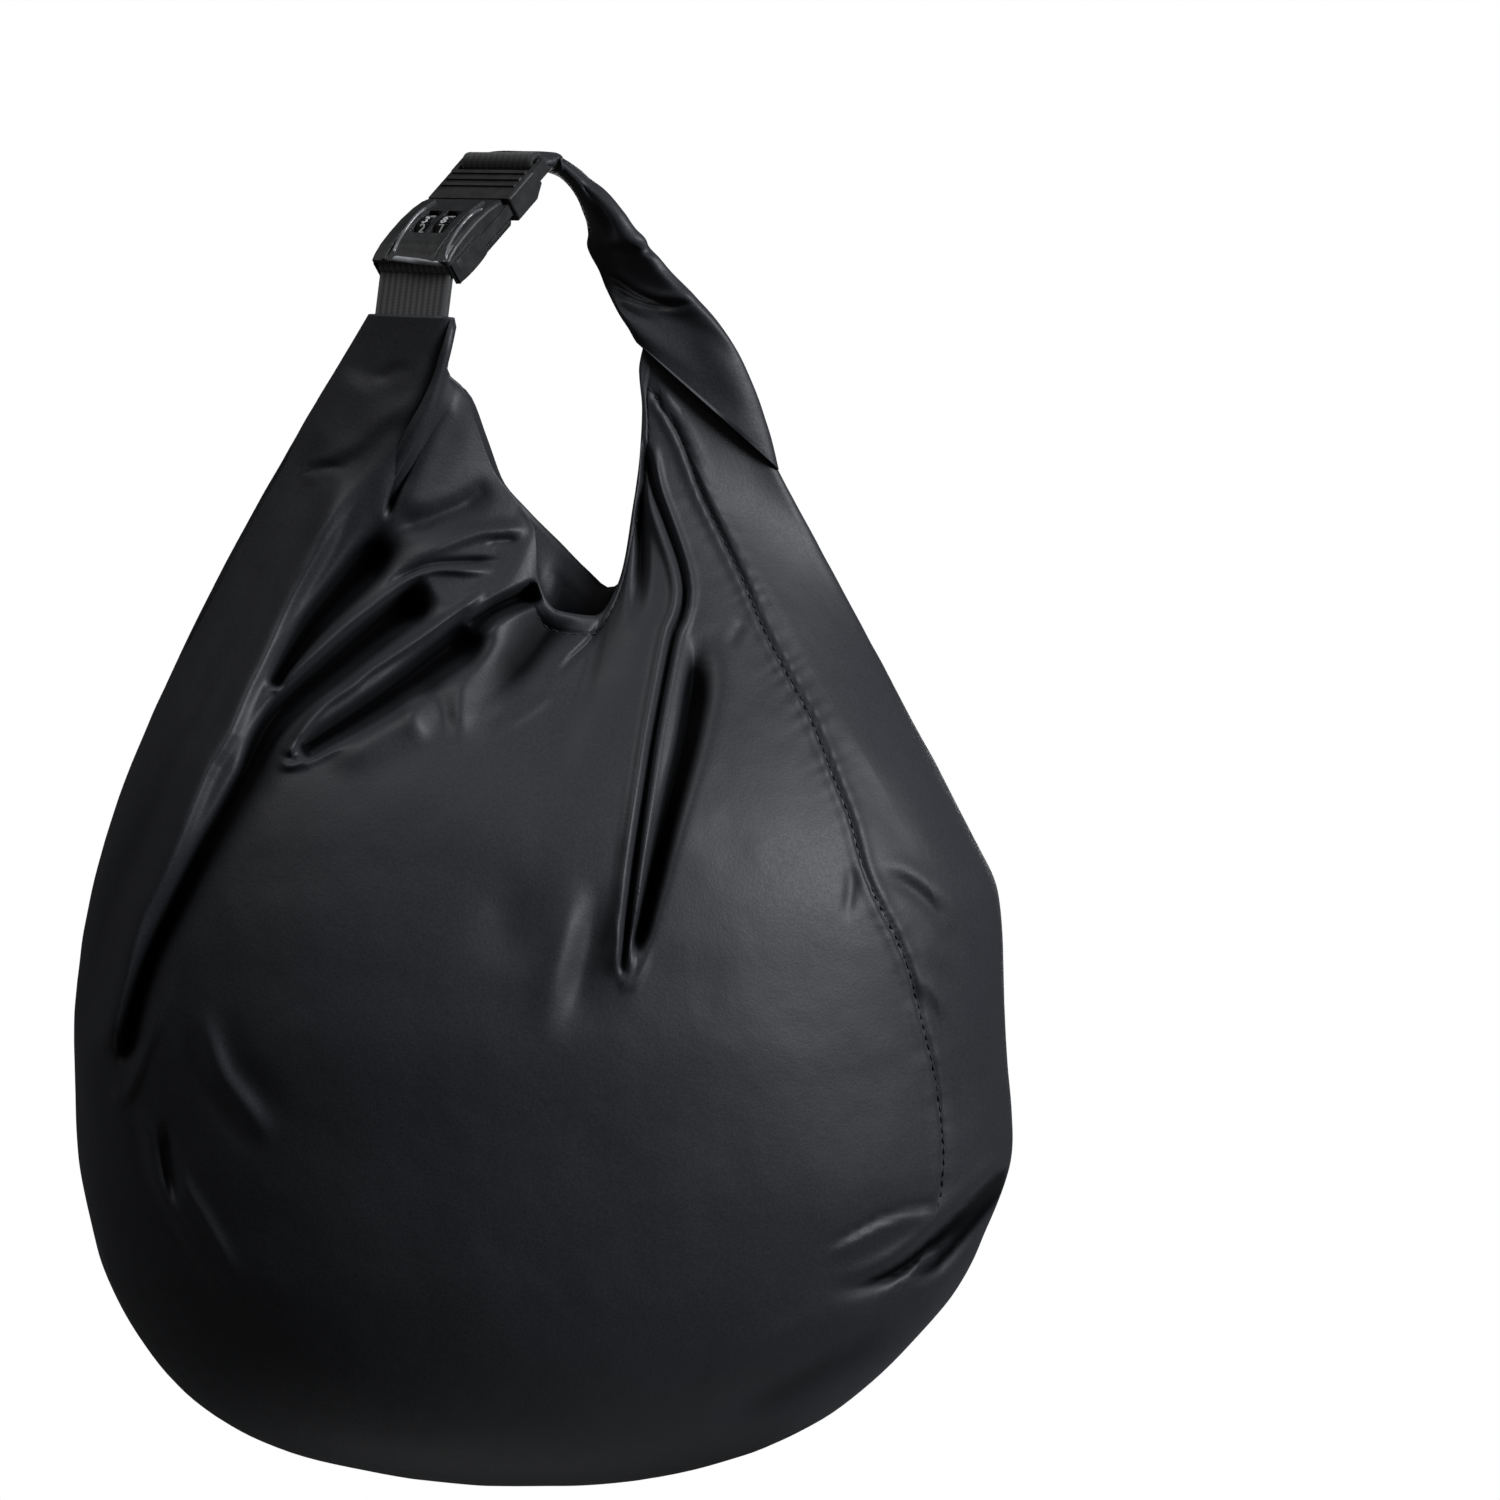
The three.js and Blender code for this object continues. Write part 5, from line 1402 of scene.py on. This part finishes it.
# Sizes of the dials in the buckle's own frame, and each number's strokes in a unit square.
DIAL_RADIUS, DIAL_WIDTH, DIAL_PITCH, DIAL_HEIGHT, AXLE_Y = 6.9, 7.0, 10.0, 22.0, 1.8
FIGURE_TALL, FIGURE_WIDE, STROKE_WIDTH, STROKE_HEIGHT = 3.2, 2.3, 0.72, 0.16
FIRST_FIGURES = (3, 8)
STRAIGHT_FIGURES = (4, 7)
DIGITS = {
    0: [[(0.5, 1), (0.15, 0.85), (0.02, 0.5), (0.15, 0.15), (0.5, 0), (0.85, 0.15), (0.98, 0.5),
        (0.85, 0.85), (0.5, 1)]],
    1: [[(0.2, 0.8), (0.55, 1), (0.55, 0)]],
    2: [[(0.05, 0.8), (0.3, 1), (0.7, 1), (0.95, 0.75), (0.7, 0.45), (0.05, 0), (1, 0)]],
    3: [[(0.05, 0.95), (0.6, 1), (0.95, 0.78), (0.5, 0.54)],
        [(0.5, 0.54), (1, 0.28), (0.6, 0), (0.05, 0.06)]],
    4: [[(0.7, 0), (0.7, 1), (0, 0.3), (1, 0.3)]],
    5: [[(0.9, 1), (0.15, 1), (0.1, 0.55), (0.6, 0.6), (0.98, 0.3), (0.6, 0), (0.05, 0.08)]],
    6: [[(0.85, 0.95), (0.3, 0.85), (0.03, 0.4), (0.3, 0.02), (0.75, 0.04), (0.97, 0.32), (0.7, 0.57),
        (0.1, 0.45)]],
    7: [[(0, 1), (1, 1), (0.4, 0)]],
    8: [[(0.5, 0.54), (0.1, 0.76), (0.5, 1), (0.9, 0.76), (0.5, 0.54), (0.03, 0.27), (0.5, 0), (0.97, 0.27),
        (0.5, 0.54)]],
    9: [[(0.9, 0.55), (0.3, 0.43), (0.03, 0.68), (0.25, 0.96), (0.7, 0.98), (0.97, 0.6), (0.7, 0.15),
        (0.15, 0.05)]],
}


def dial_ring(x):
    """A ten-sided drum: its radius follows the flats by turn, with a groove at each corner and eased rims."""
    turns = np.linspace(0, 2 * np.pi, 160, endpoint=False)
    phase = (turns / (2 * np.pi) * 10 + 0.5) % 1 - 0.5
    flat = math.cos(math.pi / 10) / np.cos(phase * math.pi / 5)
    notch = 1 - 0.07 * np.exp(-(((np.abs(phase) - 0.5) / 0.07) ** 2))
    radius = DIAL_RADIUS * flat * notch
    half = DIAL_WIDTH / 2
    rim = [(-half, 0.2), (-half, 0.86), (-half + 0.12, 0.955), (-half + 0.5, 1)]
    points = []
    for place, share in rim + [(-place, share) for place, share in rim[::-1]]:
        r = np.full_like(radius, DIAL_RADIUS * share) if share < 0.5 else radius * share
        across = np.full_like(radius, x + place)
        points.append(np.stack([across, AXLE_Y - r * np.cos(turns), DIAL_HEIGHT + r * np.sin(turns)],
            axis=1))
    return buckle_point(np.array(points))


def stroke(points, width, height):
    """A flat raised line through points of a plane: a rectangle carried along them, mitred at the corners."""
    p = np.array(points, float)
    way = unit(np.gradient(p, axis=0))
    side = np.stack([-way[:, 1], way[:, 0]], axis=1) * width / 2
    left, right = p + side, p - side
    low = np.zeros(len(p))
    corners = ((left, low), (left, low + height), (right, low + height), (right, low))
    grid = np.stack([np.column_stack(corner) for corner in corners], axis=1)
    end = 4 * len(p)
    return grid.reshape(-1, 3), [*grid_faces(len(p), 4), [3, 2, 1, 0], list(range(end - 4, end))]


def dial_figures(name, x, first):
    """The ten numbers round a dial, each on its own flat."""
    points, faces, base = [], [], 0
    level = DIAL_RADIUS * math.cos(math.pi / 10) - 0.05
    for k in range(10):
        figure = (first + k) % 10
        turn = 2 * np.pi * k / 10
        radial = np.array([0, -math.cos(turn), math.sin(turn)])
        up = np.array([0, math.sin(turn), math.cos(turn)])
        for line in DIGITS[figure]:
            flat = [((a - 0.5) * FIGURE_WIDE, (b - 0.5) * FIGURE_TALL) for a, b in line]
            if len(flat) > 3 and figure not in STRAIGHT_FIGURES:
                flat = spline(flat, 6 * len(flat))
            grid, quads = stroke(flat, STROKE_WIDTH, STROKE_HEIGHT)
            local = np.array([x, AXLE_Y, DIAL_HEIGHT]) + grid[:, :1] * [1, 0, 0] + grid[:, 1:2] * up
            points.append(buckle_point(local + (level + grid[:, 2:]) * radial))
            faces += [[i + base for i in f] for f in quads]
            base += len(grid)
    return make_mesh(name, np.vstack(points), faces, smooth_faces=False)


class HELMETBAG_OT_dials(Operator):
    """Make both number dials"""

    bl_idname = "helmet_bag.dials"
    bl_label = "Dials"

    def execute(self, context):
        look = colours()
        gloss = plastic_material("dial_gloss", shade(colour_of(look.gloss_colour), 0.35), 0.22, 1500,
            0.00004)
        ink = paint_material("figure_ink", colour_of(look.figure_colour))
        for i, body in enumerate(("left_dial", "right_dial")):
            x = (i - 0.5) * DIAL_PITCH
            ring = dial_ring(x)
            rows, columns = ring.shape[:2]
            c = np.arange(columns)
            n, last = (c + 1) % columns, (rows - 1) * columns
            bore = np.stack([last + c, last + n, n, c], axis=1)
            piece = make_mesh(body + "_drum", ring.reshape(-1, 3), [*grid_faces(rows, columns), *bore])
            face_outwards(piece)
            piece.data.set_sharp_from_angle(angle=math.radians(35))
            dress(piece, gloss, body, "gloss_black", "dial_left" if i == 0 else "dial_right")
            figures = dial_figures(body + "_figures", x, FIRST_FIGURES[i])
            face_outwards(figures)
            dress(figures, ink, body, "gloss_black")
        return {"FINISHED"}


# Studio


# The floor's disc, in metres, and how bright the air and what the camera sees behind are.
FLOOR_RADIUS, FLOOR_LEVEL = 0.6, -1.3
AIR_LIGHT, BACKDROP_LIGHT = 0.03, 1.0
LIGHT_SPREAD = math.radians(60)


def soft_light(name, place, aim, width, height, power, colour=(1, 1, 1)):
    """A rectangular soft box at a place, turned to an aim."""
    light = bpy.data.lights.new(name, "AREA")
    light.shape = "RECTANGLE"
    light.size, light.size_y = width, height
    light.energy = power
    light.color = colour
    light.spread = LIGHT_SPREAD
    lamp = bpy.data.objects.new(name, light)
    bpy.context.scene.collection.objects.link(lamp)
    forward = unit(np.array(aim, float) - np.array(place, float))
    right = unit(np.cross(forward, [0, 0, 1.0]))
    up = np.cross(right, forward)
    m = Matrix([[*r] for r in np.column_stack([right, up, -forward])]).to_4x4()
    m.translation = place
    lamp.matrix_world = m
    return lamp


class HELMETBAG_OT_studio(Operator):
    """Set up the floor, the light and the camera"""

    bl_idname = "helmet_bag.studio"
    bl_label = "Studio"

    def execute(self, context):
        scene = context.scene
        look = colours()
        camera = bpy.data.cameras.new("camera")
        camera.angle = 2 * math.atan(0.3 / (FOCUS / 1000))
        camera.clip_end = 50
        stand = bpy.data.objects.new("camera", camera)
        scene.collection.objects.link(stand)
        m = Matrix([[1, 0, 0], [0, SIGHT_UP[1], -SIGHT[1]], [0, SIGHT_UP[2], -SIGHT[2]]]).to_4x4()
        m.translation = EYE / 1000
        stand.matrix_world = m
        scene.camera = stand

        radius = np.linspace(0.02, FLOOR_RADIUS, 12)
        turn = np.linspace(0, 2 * np.pi, 96, endpoint=False)
        x, y = np.outer(radius, np.cos(turn)), np.outer(radius, np.sin(turn))
        disc = np.stack([x, y, np.full_like(x, FLOOR_LEVEL)], axis=-1) * 1000
        faces = [*grid_faces(len(radius), len(turn))[:, ::-1], list(range(len(turn)))]
        floor = make_mesh("studio_floor", disc.reshape(-1, 3), faces)
        floor.data.materials.append(floor_material("studio_paper", colour_of(look.floor_colour)))

        world = bpy.data.worlds.new("studio")
        scene.world = world
        world.use_nodes = True
        tree = world.node_tree
        tree.nodes.clear()
        path = tree.nodes.new("ShaderNodeLightPath")
        mix = tree.nodes.new("ShaderNodeMixShader")
        output = tree.nodes.new("ShaderNodeOutputWorld")
        tree.links.new(path.outputs["Is Camera Ray"], mix.inputs[0])
        for i, strength in enumerate((AIR_LIGHT, BACKDROP_LIGHT)):
            white = tree.nodes.new("ShaderNodeBackground")
            white.inputs["Color"].default_value = (1, 1, 1, 1)
            white.inputs["Strength"].default_value = strength
            tree.links.new(white.outputs[0], mix.inputs[i + 1])
        tree.links.new(mix.outputs[0], output.inputs[0])
        scene.view_settings.view_transform = "Standard"

        middle = (0.0, 0.0, -0.28)
        soft_light("key_light", (1.9, -1.1, 1.0), middle, 1.3, 1.3, 8.2, (0.95, 0.975, 1.0))
        soft_light("top_light", (-0.8, -0.25, 1.1), (-0.05, 0, -0.12), 0.7, 0.7, 0.7)
        soft_light("rear_light", (0.1, 1.9, -0.05), (0, 0, -0.25), 0.9, 0.9, 1.5)
        return {"FINISHED"}


class HELMETBAG_PT_panel(Panel):
    """Lists the steps and the settings"""

    bl_idname = "HELMETBAG_PT_panel"
    bl_label = "Helmet bag"
    bl_space_type = "VIEW_3D"
    bl_region_type = "UI"
    bl_category = "Helmet bag"

    def draw(self, context):
        for operator in OPERATORS:
            self.layout.operator(operator.bl_idname)
        for group in (context.scene.helmet_bag_sizes, context.scene.helmet_bag_colours):
            box = self.layout.box()
            for name in group.bl_rna.properties.keys():
                if name not in ("rna_type", "name"):
                    box.prop(group, name)


OPERATORS = (
    HELMETBAG_OT_studio,
    HELMETBAG_OT_cloth_body,
    HELMETBAG_OT_stitching,
    HELMETBAG_OT_handle_sleeve,
    HELMETBAG_OT_straps,
    HELMETBAG_OT_buckle,
    HELMETBAG_OT_dials,
)
CLASSES = (HelmetBagSizes, HelmetBagColours, *OPERATORS, HELMETBAG_PT_panel)


def register():
    for cls in CLASSES:
        bpy.utils.register_class(cls)
    bpy.types.Scene.helmet_bag_sizes = PointerProperty(type=HelmetBagSizes)
    bpy.types.Scene.helmet_bag_colours = PointerProperty(type=HelmetBagColours)


def unregister():
    del bpy.types.Scene.helmet_bag_colours
    del bpy.types.Scene.helmet_bag_sizes
    for cls in reversed(CLASSES):
        bpy.utils.unregister_class(cls)


def main():
    """Registers the add-on and makes every piece in order."""
    register()
    for operator in OPERATORS:
        name = operator.bl_idname.split(".")[1]
        getattr(bpy.ops.helmet_bag, name)()


if __name__ == "__main__":
    main()
